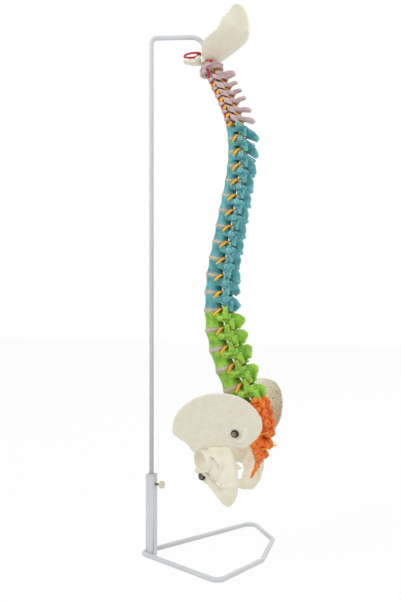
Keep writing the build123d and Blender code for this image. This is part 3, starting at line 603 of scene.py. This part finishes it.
# Camera and lamps: places in metres, turns in degrees; a lamp is (name, place, size, power)
CAMERA_PLACE = (0.5708, -1.1823, 0.449)
CAMERA_TURN = (90, 0, 22)
CAMERA_LENS = 44.51
AIM = Vector((0.12, 0.03, 0.5))
LAMPS = [
    ("key light", (-1.3, -1.9, 2.1), 1.4, 26.0),
    ("fill light", (2.2, -1.2, 1.3), 1.8, 12.0),
    ("rear light", (0.6, 2.2, 1.9), 1.6, 12.0),
]
SURROUND = 0.62
FLOOR_GLOW = 0.94


class SPINE_OT_stage(bpy.types.Operator):
    """Floor, soft studio light, white surround and the camera"""

    bl_idname = "spine.stage"
    bl_label = "Stage"

    def execute(self, context):
        deselect()
        bpy.ops.mesh.primitive_plane_add(size=12.0, location=(0, 0, -0.0002))
        floor = settle(context.active_object)
        floor.name = "floor"
        material = bpy.data.materials.new("pale floor")
        material.use_nodes = True
        tree = material.node_tree
        shader = tree.nodes["Principled BSDF"]
        shader.inputs["Base Color"].default_value = (0.86, 0.86, 0.86, 1)
        shader.inputs["Roughness"].default_value = 0.9
        glow = tree.nodes.new("ShaderNodeEmission")
        glow.inputs["Color"].default_value = (1, 1, 1, 1)
        blend = tree.nodes.new("ShaderNodeMixShader")
        rays = tree.nodes.new("ShaderNodeLightPath")
        seen = maths(tree, "MAXIMUM", rays.outputs["Is Camera Ray"], rays.outputs["Is Glossy Ray"])
        tree.links.new(maths(tree, "MULTIPLY", seen, FLOOR_GLOW), blend.inputs["Fac"])
        tree.links.new(shader.outputs["BSDF"], blend.inputs[1])
        tree.links.new(glow.outputs["Emission"], blend.inputs[2])
        tree.links.new(blend.outputs["Shader"], tree.nodes["Material Output"].inputs["Surface"])
        floor.data.materials.append(material)
        self.light_world(context)
        for lamp in LAMPS:
            self.add_lamp(*lamp)
        camera = bpy.data.cameras.new("photo camera")
        camera.lens = CAMERA_LENS
        camera.sensor_width = 36.0
        camera.clip_end = 50.0
        view = bpy.data.objects.new("photo camera", camera)
        context.scene.collection.objects.link(view)
        view.location = CAMERA_PLACE
        view.rotation_euler = [math.radians(turn) for turn in CAMERA_TURN]
        context.scene.camera = view
        context.scene.view_settings.view_transform = "Standard"
        return {"FINISHED"}

    def light_world(self, context):
        """Even light from all round, seen as white."""
        world = context.scene.world or bpy.data.worlds.new("white surround")
        context.scene.world = world
        world.use_nodes = True
        tree = world.node_tree
        back = tree.nodes["Background"]
        back.inputs["Color"].default_value = (1, 1, 1, 1)
        rays = tree.nodes.new("ShaderNodeLightPath")
        seen = maths(tree, "MAXIMUM", rays.outputs["Is Camera Ray"], rays.outputs["Is Transmission Ray"])
        seen = maths(tree, "MAXIMUM", seen, rays.outputs["Is Glossy Ray"])
        tree.links.new(span(tree, seen, 0.0, 1.0, SURROUND, 1.0), back.inputs["Strength"])

    def add_lamp(self, name, place, size, power):
        """Square soft lamp aimed at the middle of the column."""
        light = bpy.data.lights.new(name, "AREA")
        light.size = size
        light.energy = power
        lamp = bpy.data.objects.new(name, light)
        bpy.context.scene.collection.objects.link(lamp)
        lamp.location = place
        lamp.rotation_euler = (AIM - Vector(place)).to_track_quat("-Z", "Y").to_euler()


class SPINE_OT_stand(bpy.types.Operator):
    """Base loop, post, guide bush and the long rod with its arm"""

    bl_idname = "spine.stand"
    bl_label = "Stand"

    def execute(self, context):
        colours = context.scene.spine_colours
        paint = paint_material("stand paint", colours.paint)
        for node in ("stand_base", "stand_post", "stand_rod"):
            piece = settle(copy_of(node, f"{node}_painted"), 30.0)
            dress(piece, paint, "stand_paint", node)
            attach(piece, "rod" if node == "stand_rod" else "stand")
        bush = settle(copy_of("guide_bush", "guide_bush_moulded"), 30.0)
        dress(bush, plastic_material("bush plastic", shade(205, 207, 211), 0.45), "bush_plastic", "guide_bush")
        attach(bush, "stand")
        return {"FINISHED"}


class SPINE_OT_clamp(bpy.types.Operator):
    """Clamp screw and its knob"""

    bl_idname = "spine.clamp"
    bl_label = "Clamp"

    def execute(self, context):
        colours = context.scene.spine_colours
        screw = settle(copy_of("clamp_screw", "clamp_screw_turned"), 30.0)
        steel = metal_material("dark steel", colours.steel, 0.35, (0.05, 0.045, 0.04))
        dress(screw, steel, "dark_steel", "clamp_screw")
        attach(screw, "clamp")
        knob = settle(copy_of("clamp_knob", "clamp_knob_moulded"), 30.0)
        dress(knob, plastic_material("knob plastic", colours.knob, 0.35), "knob_plastic", "clamp_knob")
        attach(knob, "clamp")
        return {"FINISHED"}


class SPINE_OT_hanger(bpy.types.Operator):
    """Socket and wire eye that carry the column"""

    bl_idname = "spine.hanger"
    bl_label = "Hanger"

    def execute(self, context):
        wire = settle(copy_of("hanger_wire", "hanger_wire_bent"), 50.0)
        wire_steel = metal_material("wire steel", shade(150, 140, 122), 0.4, (0.12, 0.09, 0.06))
        dress(wire, wire_steel, "wire_steel", "hanger_wire")
        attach(wire, "head")
        socket = settle(copy_of("core_socket", "core_socket_turned"), 30.0)
        socket_steel = metal_material("socket steel", shade(190, 190, 190), 0.3, (0.3, 0.3, 0.3))
        dress(socket, socket_steel, "socket_steel", "core_socket")
        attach(socket, "head")
        return {"FINISHED"}


# Skull plate in millimetres: the suture line as (x, z), how far the lower back is drawn in, and the lumps of the base
SUTURE = [(97, 869), (104, 879), (110, 888), (119, 893), (129, 899), (138, 914), (149, 931), (156, 948), (168, 955)]
SUTURE_TEETH = 14
SUTURE_DEPTH = 3.0
ABOVE_SUTURE = [(175, 985), (60, 985), (60, 869)]
TUCK = 35
TUCK_BELOW = 912
TUCK_HEIGHT = 50
TUCK_BEHIND = 92
TUCK_LENGTH = 62
BASE_LUMPS = [
    ((92, 0, 866), (58, 0, 870), 11, 5.5),
    ((70, -6, 866), (54, -10, 874), 4.5, 4.0),
    ((70, 6, 866), (54, 10, 874), 4.5, 4.0),
    ((76, -9, 868), (88, -20, 872), 5.0, 4.0),
    ((76, 9, 868), (88, 20, 872), 5.0, 4.0),
]


def suture_cutter():
    """Prism with a toothed face along the suture, in front of the plate."""
    line = [Vector(p) for p in SUTURE]
    length = sum((b - a).length for a, b in zip(line, line[1:]))
    outline = []
    for n in range(2 * SUTURE_TEETH + 1):
        rest = length * n / (2 * SUTURE_TEETH)
        for a, b in zip(line, line[1:]):
            run = (b - a).length
            if rest <= run + 0.001:
                break
            rest -= run
        along = (b - a).normalized()
        tooth = SUTURE_DEPTH / 2 * (1 if n % 2 else -1) * (0.6 + 0.4 * math.sin(2.3 * n))
        outline.append(a + along * rest + Vector((-along.y, along.x)) * tooth)
    return prism(outline + ABOVE_SUTURE, 90)


def tuck(piece):
    """Lower back of the plate drawn in towards the foramen."""
    for vertex in piece.data.vertices:
        x, z = vertex.co.x / MM, vertex.co.z / MM
        low = min(1.0, max(0.0, (TUCK_BELOW - z) / TUCK_HEIGHT))
        back = min(1.0, max(0.0, (x - TUCK_BEHIND) / TUCK_LENGTH))
        vertex.co.x -= TUCK * MM * low * low * (3 - 2 * low) * back
    return piece


class SPINE_OT_skull(bpy.types.Operator):
    """Occipital plate"""

    bl_idname = "spine.skull"
    bl_label = "Skull plate"

    def execute(self, context):
        scene = context.scene
        plate = tuck(carve(copy_of("occipital_plate", "occipital_plate_cast"), suture_cutter()))
        join_forms(plate, [lobe(*lump, MIDDLE) for lump in BASE_LUMPS])
        cast(plate, scene.spine_sizes.loin_grain, 3, 0.0007, 0.009)
        dress(plate, cream_material(context), "bone_cream", "occipital_plate")
        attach(plate, "head")
        return {"FINISHED"}


def cream_material(context):
    """Cast cream plastic of the skull plate and hip bones."""
    value = context.scene.spine_colours.cream
    # shade(176, 164, 136) is the painted shade for hollows, shade(240, 237, 226) the painted highlight for ridges
    return bone_material("cream bone", value, shade(176, 164, 136), shade(240, 237, 226), 0.40, 0.12)


def neck_forms(level, node):
    """Broad laminae, joint blocks and a thick forked process of a neck vertebra."""
    tip, _ = level.tips(node)
    back = level.centre + level.canal
    out = level.half_width
    lamina = [
        (level.centre - 1, out + 4.5, 1.5, 4.0, 3.4),
        (level.centre + 4, out + 2.0, -0.5, 3.6, 4.2),
        (back + 2.5, 3.5, -2.5, 3.6, 3.8),
        (back + 5.5, 0.5, -3.2, 3.0, 3.0),
    ]
    middle = (back + tip.x) / 2
    process = [(back, 0, -2.0, 3.8, 4.8), (middle, 0, tip.z / 2, 3.4, 4.2), (tip.x - 2.2, 0, tip.z, 3.8, 3.2)]
    fork = lobe((tip.x - 6, 1.0, tip.z), (tip.x + 0.3, 3.8, tip.z - 0.6), 2.2, 2.4, level.place)
    twin_fork = lobe((tip.x - 6, -1.0, tip.z), (tip.x + 0.3, -3.8, tip.z - 0.6), 2.2, 2.4, level.place)
    stations = [lamina, mirrored(lamina), process]
    return [form(s, level.place) for s in stations] + [fork, twin_fork]


def chest_forms(level, node):
    """Roof-tile laminae, a deep spinous blade and clubbed transverse processes of a chest vertebra."""
    tip, side = level.tips(node)
    back, out, step = level.centre + level.canal, level.half_width + level.wall * 0.4, level.step
    lamina = [
        (level.centre - 0.5, out, level.rise + 0.5, 2.8, step * 0.24),
        (level.centre + 4.5, out - 0.5, level.rise - 2.5, 3.2, step * 0.38),
        (back + 2.5, 2.5, level.rise - 5.0, 3.4, step * 0.37),
    ]
    blade = [
        (back, 0, level.rise - 4.5, 3.8, step * 0.37),
        ((back + tip.x) / 2, 0, (tip.z - 4) / 2, 3.3, step * 0.36),
        (tip.x - 4.5, 0, tip.z + 2.0, 3.2, 5.6),
        (tip.x - 1.0, 0, tip.z + 0.2, 2.4, 3.4),
    ]
    club = [
        (level.centre + 0.5, out, level.rise, 4.2, 5.0),
        ((level.centre + side.x) / 2 + 1, (out + side.y) / 2, side.z, 3.6, 4.4),
        (side.x + 0.5, side.y - 4.2, side.z + 0.5, 5.0, 5.4),
        (side.x + 0.5, side.y - 0.8, side.z + 0.6, 3.2, 3.6),
    ]
    stations = [lamina, mirrored(lamina), blade, club, mirrored(club)]
    pillars = []
    for sign in (1, -1):
        root, top = (level.centre + 1, out * sign, -1), (level.centre + 1.4, out * sign, step * 0.60)
        pillars.append(lobe(root, top, 3.2, 3.2, level.place))
        root, foot = (level.centre + 6, (out - 1) * sign, 2), (level.centre + 7.4, (out - 1) * sign, -step * 0.62)
        pillars.append(lobe(root, foot, 3.4, 3.4, level.place))
    return [form(s, level.place) for s in stations] + pillars


def loin_forms(level, node):
    """Heavy laminae, hatchet blade and knobbed joint processes of a loin vertebra."""
    tip, _ = level.tips(node)
    back, out, step = level.centre + level.canal, level.half_width, level.step
    lamina = [
        (level.centre + 1, out + 4.5, level.rise, 4.4, step * 0.20),
        (level.centre + 7, out + 0.5, level.rise - 3.5, 4.8, step * 0.33),
        (back + 4.0, 2.0, level.rise - 4.5, 4.6, step * 0.32),
    ]
    blade = [
        (back, 0, level.rise - 3.5, 4.8, step * 0.33),
        ((back + tip.x) / 2, 0, (tip.z - 2) / 2, 3.8, step * 0.32),
        (tip.x - 6.0, 0, tip.z - 1.0, 4.0, step * 0.27),
        (tip.x - 0.6, 0, tip.z - 3.5, 2.8, step * 0.15),
    ]
    high = (level.centre + 2.6, out + 5.6)
    low = (level.centre + 11.0, out + 0.5)
    knobs = []
    for sign in (1, -1):
        top, foot = (high[0] + 1, high[1] * sign, step * 0.44), (high[0] - 1, high[1] * sign, -step * 0.04)
        knobs.append(lobe(foot, top, 5.4, 5.6, level.place))
        top, foot = (low[0], low[1] * sign, 0), (low[0] + 0.5, low[1] * sign, -step * 0.46)
        knobs.append(lobe(top, foot, 5.4, 6.0, level.place))
        nipple = (level.centre + 8, (out + 8.0) * sign, step * 0.14)
        knobs.append(lobe((level.centre + 3, (out + 6) * sign, step * 0.10), nipple, 3.6, 3.6, level.place))
    stations = [lamina, mirrored(lamina), blade]
    return [form(s, level.place) for s in stations] + knobs


def cast_vertebrae(context, levels, material, slot, cell, rounds, forms):
    """One cast vertebra per level, each riding on its own body."""
    relief = context.scene.spine_sizes.relief
    for level in levels:
        node = f"vertebra_{level}"
        piece = copy_of(node, f"{node}_cast")
        if level != "c1":
            join_forms(piece, forms(Level(level), node))
        cast(piece, cell, rounds, relief, 0.005)
        dress(piece, material, slot, node)
        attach(piece, level)


class SPINE_OT_neck(bpy.types.Operator):
    """Seven vertebrae of the neck"""

    bl_idname = "spine.neck"
    bl_label = "Neck vertebrae"

    def execute(self, context):
        value = context.scene.spine_colours.mauve
        # shade(140, 104, 106) is the painted shade for hollows, shade(228, 210, 212) the painted highlight for ridges
        material = bone_material("mauve bone", value, shade(140, 104, 106), shade(228, 210, 212), 0.42, 0.5)
        cast_vertebrae(context, NECK, material, "bone_mauve", context.scene.spine_sizes.neck_grain, 4, neck_forms)
        return {"FINISHED"}


class SPINE_OT_chest(bpy.types.Operator):
    """Twelve vertebrae of the chest"""

    bl_idname = "spine.chest"
    bl_label = "Chest vertebrae"

    def execute(self, context):
        value = context.scene.spine_colours.teal
        # shade(34, 96, 110) is the painted shade for hollows, shade(148, 208, 212) the painted highlight for ridges
        material = bone_material("teal bone", value, shade(34, 96, 110), shade(148, 208, 212), 0.42, 0.62)
        cast_vertebrae(context, CHEST, material, "bone_teal", context.scene.spine_sizes.chest_grain, 5, chest_forms)
        return {"FINISHED"}


class SPINE_OT_loin(bpy.types.Operator):
    """Five vertebrae of the loin"""

    bl_idname = "spine.loin"
    bl_label = "Loin vertebrae"

    def execute(self, context):
        value = context.scene.spine_colours.lime
        # shade(58, 118, 34) is the painted shade for hollows, shade(196, 230, 104) the painted highlight for ridges
        material = bone_material("lime bone", value, shade(58, 118, 34), shade(196, 230, 104), 0.40, 0.62)
        cast_vertebrae(context, LOIN, material, "bone_lime", context.scene.spine_sizes.loin_grain, 5, loin_forms)
        return {"FINISHED"}


class SPINE_OT_discs(bpy.types.Operator):
    """Soft discs between the bodies"""

    bl_idname = "spine.discs"
    bl_label = "Discs"

    def execute(self, context):
        colours = context.scene.spine_colours
        # shade(120, 112, 92) is the painted shade for hollows, shade(208, 203, 188) the painted highlight for ridges
        material = bone_material("disc", colours.disc, shade(120, 112, 92), shade(208, 203, 188), 0.5)
        cell = context.scene.spine_sizes.soft_grain
        for upper in NECK[1:]:
            level = Level(upper)
            depth, width = size_at(BODY_DEPTH, level.number) / 2, size_at(BODY_WIDTH, level.number) / 2
            low = -level.step / 2
            rings = [(low + 2.0, -0.6), (low + 1.4, 0.3), (low + 0.4, 0.7), (low - 0.5, 0.5), (low - 0.9, -0.3)]
            ring = form([(0, 0, z, width + out, depth + out) for z, out in rings], level.place)
            ring.name = f"disc_ring_{upper}"
            pick(ring)
            bpy.ops.object.mode_set(mode="EDIT")
            face_out()
            cast(ring, cell, 2, 0.0, 0)
            dress(ring, material, "disc_grey")
            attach(ring, upper)
        for upper, lower in zip(COLUMN[8:], COLUMN[9:]):
            node = f"disc_{upper}_{'s1' if lower == 'pelvis' else lower}"
            piece = cast(copy_of(node, f"{node}_soft"), cell * 1.3, 3, 0.0, 0)
            dress(piece, material, "disc_grey", node)
            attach(piece, upper)
        return {"FINISHED"}


# Outline trimmed off the back of the sacrum as (x, z), and its bony crest as (x, z, distance to the side rows)
SACRAL_BACK = [(206, 268), (250, 268), (250, 120), (192, 120), (211, 196)]
SACRAL_CREST = [(208, 276, 13), (213, 260, 12), (216, 243, 11), (216, 226, 9), (213, 206, 7), (204, 188, 5)]


class SPINE_OT_sacrum(bpy.types.Operator):
    """Sacrum with the coccyx"""

    bl_idname = "spine.sacrum"
    bl_label = "Sacrum and coccyx"

    def execute(self, context):
        colours, sizes = context.scene.spine_colours, context.scene.spine_sizes
        # Painted shade colour for the hollows, then painted highlight colour for the ridges
        painted_shade, painted_highlight = shade(170, 52, 24), shade(252, 168, 70)
        material = bone_material("orange bone", colours.orange, painted_shade, painted_highlight, 0.42, 0.5, colours.blotch)
        piece = copy_of("sacrum_and_coccyx", "sacrum_and_coccyx_cast")
        carve(piece, prism(SACRAL_BACK, 60))
        forms = []
        for n, (x, z, out) in enumerate(SACRAL_CREST):
            forms.append(lobe((x - 20, 0, z + 8), (x + 1, 0, z - 5), 5.5, 10.0, MIDDLE))
            for sign in (1, -1):
                forms.append(lobe((x - 21, out * sign, z + 7), (x - 4, (out + 1.5) * sign, z - 6), 6.6, 7.6, MIDDLE))
                side = (x - 17, (out + 13 - 2 * n) * sign, z + 2)
                forms.append(lobe((x - 22, (out + 8 - 2 * n) * sign, z + 9), side, 5.4, 6.0, MIDDLE))
        join_forms(piece, forms)
        cast(piece, sizes.loin_grain, 9, 0.0022, 0.007)
        dress(piece, material, "bone_orange", "sacrum_and_coccyx")
        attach(piece, "pelvis")
        return {"FINISHED"}


# Right hip bone in millimetres: the cup, the bone around it, and the stations of the forms that fill the bone out
HIP_CUP = (111, 84, 184)
HIP_CUP_RADIUS = 17.5
HIP_BOSS = (118, 73, 186)
HIP_BOSS_RADIUS = 20.5
HIP_FORMS = [
    [(134, 64, 205, 9, 24), (146, 68, 186, 12, 24), (156, 70, 164, 12, 20), (161, 71, 145, 10, 16)],
    [(161, 71, 150, 9, 15), (158, 67, 130, 8, 13), (150, 58, 114, 7, 10)],
    [(124, 66, 204, 12, 14), (133, 69, 186, 15, 19), (141, 69, 170, 14, 17), (149, 67, 157, 11, 12)],
    [(92, 12, 150, 6, 9), (108, 34, 160, 6, 8), (126, 58, 176, 9, 12)],
    [(101, 11, 138, 5, 8), (122, 30, 127, 5, 7), (148, 54, 118, 7, 9)],
]


# Where the joint face on a hip bone fades in, in metres
FACE_REAR = (0.158, 0.178)
FACE_HIGH = (0.200, 0.215)


def hip_material(context):
    """Cream cast plastic with the rough brown-flecked joint face on the inner back of each blade."""
    material = cream_material(context).copy()
    material.name = "cream hip bone"
    tree = material.node_tree
    shader, group = tree.nodes["Principled BSDF"], next(n for n in tree.nodes if n.type == "GROUP")
    source = next(n for n in tree.nodes if n.type == "TEX_COORD")
    place, facing = tree.nodes.new("ShaderNodeSeparateXYZ"), tree.nodes.new("ShaderNodeSeparateXYZ")
    tree.links.new(source.outputs["Object"], place.inputs[0])
    tree.links.new(source.outputs["Normal"], facing.inputs[0])
    side = maths(tree, "SUBTRACT", place.outputs["Y"], MID_Y * MM)
    inner = span(tree, maths(tree, "MULTIPLY", side, facing.outputs["Y"]), -0.03, -0.012, 1.0, 0.0)
    rear = span(tree, place.outputs["X"], *FACE_REAR, 0.0, 1.0)
    high = span(tree, place.outputs["Z"], *FACE_HIGH, 0.0, 1.0)
    face = maths(tree, "MULTIPLY", maths(tree, "MULTIPLY", inner, rear), high)
    flecks = span(tree, noise(tree, source.outputs["Object"], 420.0, 3.0), 0.50, 0.60, 0.0, 0.8)
    share = maths(tree, "MULTIPLY", face, flecks)
    tree.links.new(mix(tree, share, group.outputs["Colour"], shade(196, 138, 82)), shader.inputs["Base Color"])
    return material


class SPINE_OT_hips(bpy.types.Operator):
    """Left and right hip bones"""

    bl_idname = "spine.hips"
    bl_label = "Hip bones"

    def execute(self, context):
        for side in ("left", "right"):
            node = f"hip_bone_{side}"
            sign = 1 if side == "right" else -1
            place = MIDDLE @ Matrix.Scale(sign, 4, Vector((0, 1, 0)))
            piece = copy_of(node, f"{node}_cast")
            forms = [form(stations, place) for stations in HIP_FORMS]
            forms.append(ball((HIP_BOSS[0], MID_Y + HIP_BOSS[1] * sign, HIP_BOSS[2]), HIP_BOSS_RADIUS))
            fuse(join_forms(piece, forms), context.scene.spine_sizes.pelvis_grain)
            carve(piece, ball((HIP_CUP[0], MID_Y + HIP_CUP[1] * sign, HIP_CUP[2]), HIP_CUP_RADIUS))
            cast(piece, context.scene.spine_sizes.pelvis_grain, 6, 0.0007, 0.014)
            dress(piece, hip_material(context), "bone_cream", node)
            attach(piece, "pelvis")
        return {"FINISHED"}


class SPINE_OT_pelvis_hardware(bpy.types.Operator):
    """Pubic disc, pelvis screws and their rubber washers"""

    bl_idname = "spine.pelvis_hardware"
    bl_label = "Pelvis hardware"

    def execute(self, context):
        disc = bpy.data.materials["disc"]
        pubic = cast(copy_of("pubic_disc", "pubic_disc_soft"), context.scene.spine_sizes.soft_grain, 3, 0.0, 0)
        dress(pubic, disc, "disc_grey", "pubic_disc")
        screws = settle(copy_of("pelvis_screws", "pelvis_screws_turned"), 30.0)
        steel = metal_material("screw steel", shade(150, 140, 118), 0.3, (0.06, 0.05, 0.04))
        dress(screws, steel, "screw_steel", "pelvis_screws")
        washers = settle(copy_of("screw_washers", "screw_washers_moulded"), 30.0)
        rubber = plastic_material("washer rubber", (0.012, 0.012, 0.012), 0.55)
        dress(washers, rubber, "washer_rubber", "screw_washers")
        for piece in (pubic, screws, washers):
            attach(piece, "pelvis")
        return {"FINISHED"}


# Ring of brain arteries in millimetres: where it starts to drop, over what height, and its lean to the front
RING_FOOT = 868
RING_EASE = 8
RING_DROP = 2.0
RING_LEAN = 0.21
RING_BACK = 85
# Length of a nerve root outside the canal of a chest or loin level
ROOT_REACH = 15.0


class SPINE_OT_nerves(bpy.types.Operator):
    """Cord with its roots, the arteries, the core and the sacral roots"""

    bl_idname = "spine.nerves"
    bl_label = "Nerves and arteries"

    def execute(self, context):
        colours, sizes = context.scene.spine_colours, context.scene.spine_sizes
        # In each, the first shade() is the painted shade for hollows, the second the painted highlight for ridges
        yellow = bone_material("nerve", colours.nerve, shade(196, 104, 10), shade(252, 200, 84), 0.40)
        red = bone_material("artery", colours.artery, shade(130, 12, 14), shade(236, 84, 76), 0.36)
        cord = copy_of("spinal_cord", "cord_whole")
        join_forms(cord, [swelling for level in LEVELS[1:] for swelling in self.swellings(Level(level))])
        cast(cord, sizes.soft_grain, 2, 0.0003, 0.004)
        column_slices(cord, "nerves", yellow, "nerve_yellow", "spinal_cord", COLUMN)
        arteries = self.lean_ring(copy_of("vertebral_arteries", "arteries_whole"))
        cast(arteries, sizes.soft_grain * 0.7, 2, 0.0, 0)
        column_slices(arteries, "arteries", red, "artery_red", "vertebral_arteries", COLUMN[:9])
        core = copy_of("core_cable", "core_whole")
        dark = plastic_material("core sleeve", shade(90, 90, 92), 0.5)
        column_slices(core, "core", dark, "core_plastic", "core_cable", COLUMN)
        roots = settle(copy_of("sacral_nerves", "sacral_nerves_cast"), 50.0)
        dress(roots, yellow, "nerve_yellow", "sacral_nerves")
        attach(roots, "pelvis")
        return {"FINISHED"}

    def lean_ring(self, arteries):
        """Ring at the base of the brain, lower and leaning to the front."""
        for vertex in arteries.data.vertices:
            x, z = vertex.co.x / MM, vertex.co.z / MM
            share = min(1.0, max(0.0, (z - RING_FOOT) / RING_EASE))
            vertex.co.z -= share * (RING_DROP + RING_LEAN * (RING_BACK - x)) * MM
        return arteries

    def swellings(self, level):
        """Sheath in the canal and the swollen ends of both nerve roots below a level."""
        top, foot = (level.centre, 0, -level.step / 2 + 7.5), (level.centre, 0, -level.step / 2 - 7.5)
        made = [lobe(top, foot, level.half_width - 2.5, level.canal - 1.8, level.place)]
        for sign in (1, -1):
            if level.number < 8:
                y = (size_at(BODY_WIDTH, level.number) / 2 + 8.0) * sign
                z = -level.step / 2 - 0.5
                start, end = (7.5, y - 1.5 * sign, z + 3.6), (1.2, y + 1.0 * sign, z - 4.2)
                made.append(lobe(start, end, 3.0, 3.0, level.place))
            else:
                y = (level.half_width + level.wall + 2.2) * sign
                start = (level.centre - 2.6, y, -level.step / 2 + 3.6)
                x, z = level.centre - 3.2 - ROOT_REACH * 0.65, -level.step / 2 + 2.0 - ROOT_REACH * 0.75
                side = (size_at(BODY_WIDTH, level.number + 1) + 3.2) / 2 + 1.0
                end = (x, max(side, abs(y)) * sign, z)
                made.append(lobe(start, end, 2.5, 2.5, level.place))
        return made


class SPINE_PT_panel(bpy.types.Panel):
    """List of the dressing steps in the sidebar"""

    bl_idname = "SPINE_PT_panel"
    bl_label = "Spine model"
    bl_space_type = "VIEW_3D"
    bl_region_type = "UI"
    bl_category = "Spine model"

    def draw(self, context):
        for step in STEPS:
            self.layout.operator(step.bl_idname)
        for group in (context.scene.spine_colours, context.scene.spine_sizes):
            for name in group.bl_rna.properties.keys():
                if name not in ("name", "rna_type"):
                    self.layout.prop(group, name)


STEPS = (
    SPINE_OT_stage,
    SPINE_OT_stand,
    SPINE_OT_clamp,
    SPINE_OT_hanger,
    SPINE_OT_skull,
    SPINE_OT_neck,
    SPINE_OT_chest,
    SPINE_OT_loin,
    SPINE_OT_discs,
    SPINE_OT_sacrum,
    SPINE_OT_hips,
    SPINE_OT_pelvis_hardware,
    SPINE_OT_nerves,
)
CLASSES = (SpineColours, SpineSizes, *STEPS, SPINE_PT_panel)


def register():
    """Classes and scene properties."""
    for item in CLASSES:
        bpy.utils.register_class(item)
    bpy.types.Scene.spine_colours = bpy.props.PointerProperty(type=SpineColours)
    bpy.types.Scene.spine_sizes = bpy.props.PointerProperty(type=SpineSizes)


def unregister():
    """Everything that register added."""
    del bpy.types.Scene.spine_colours
    del bpy.types.Scene.spine_sizes
    for item in reversed(CLASSES):
        bpy.utils.unregister_class(item)


def main():
    """Dresses the whole model."""
    register()
    for step in STEPS:
        area, action = step.bl_idname.split(".")
        getattr(getattr(bpy.ops, area), action)()
    deselect()


if __name__ == "__main__":
    main()
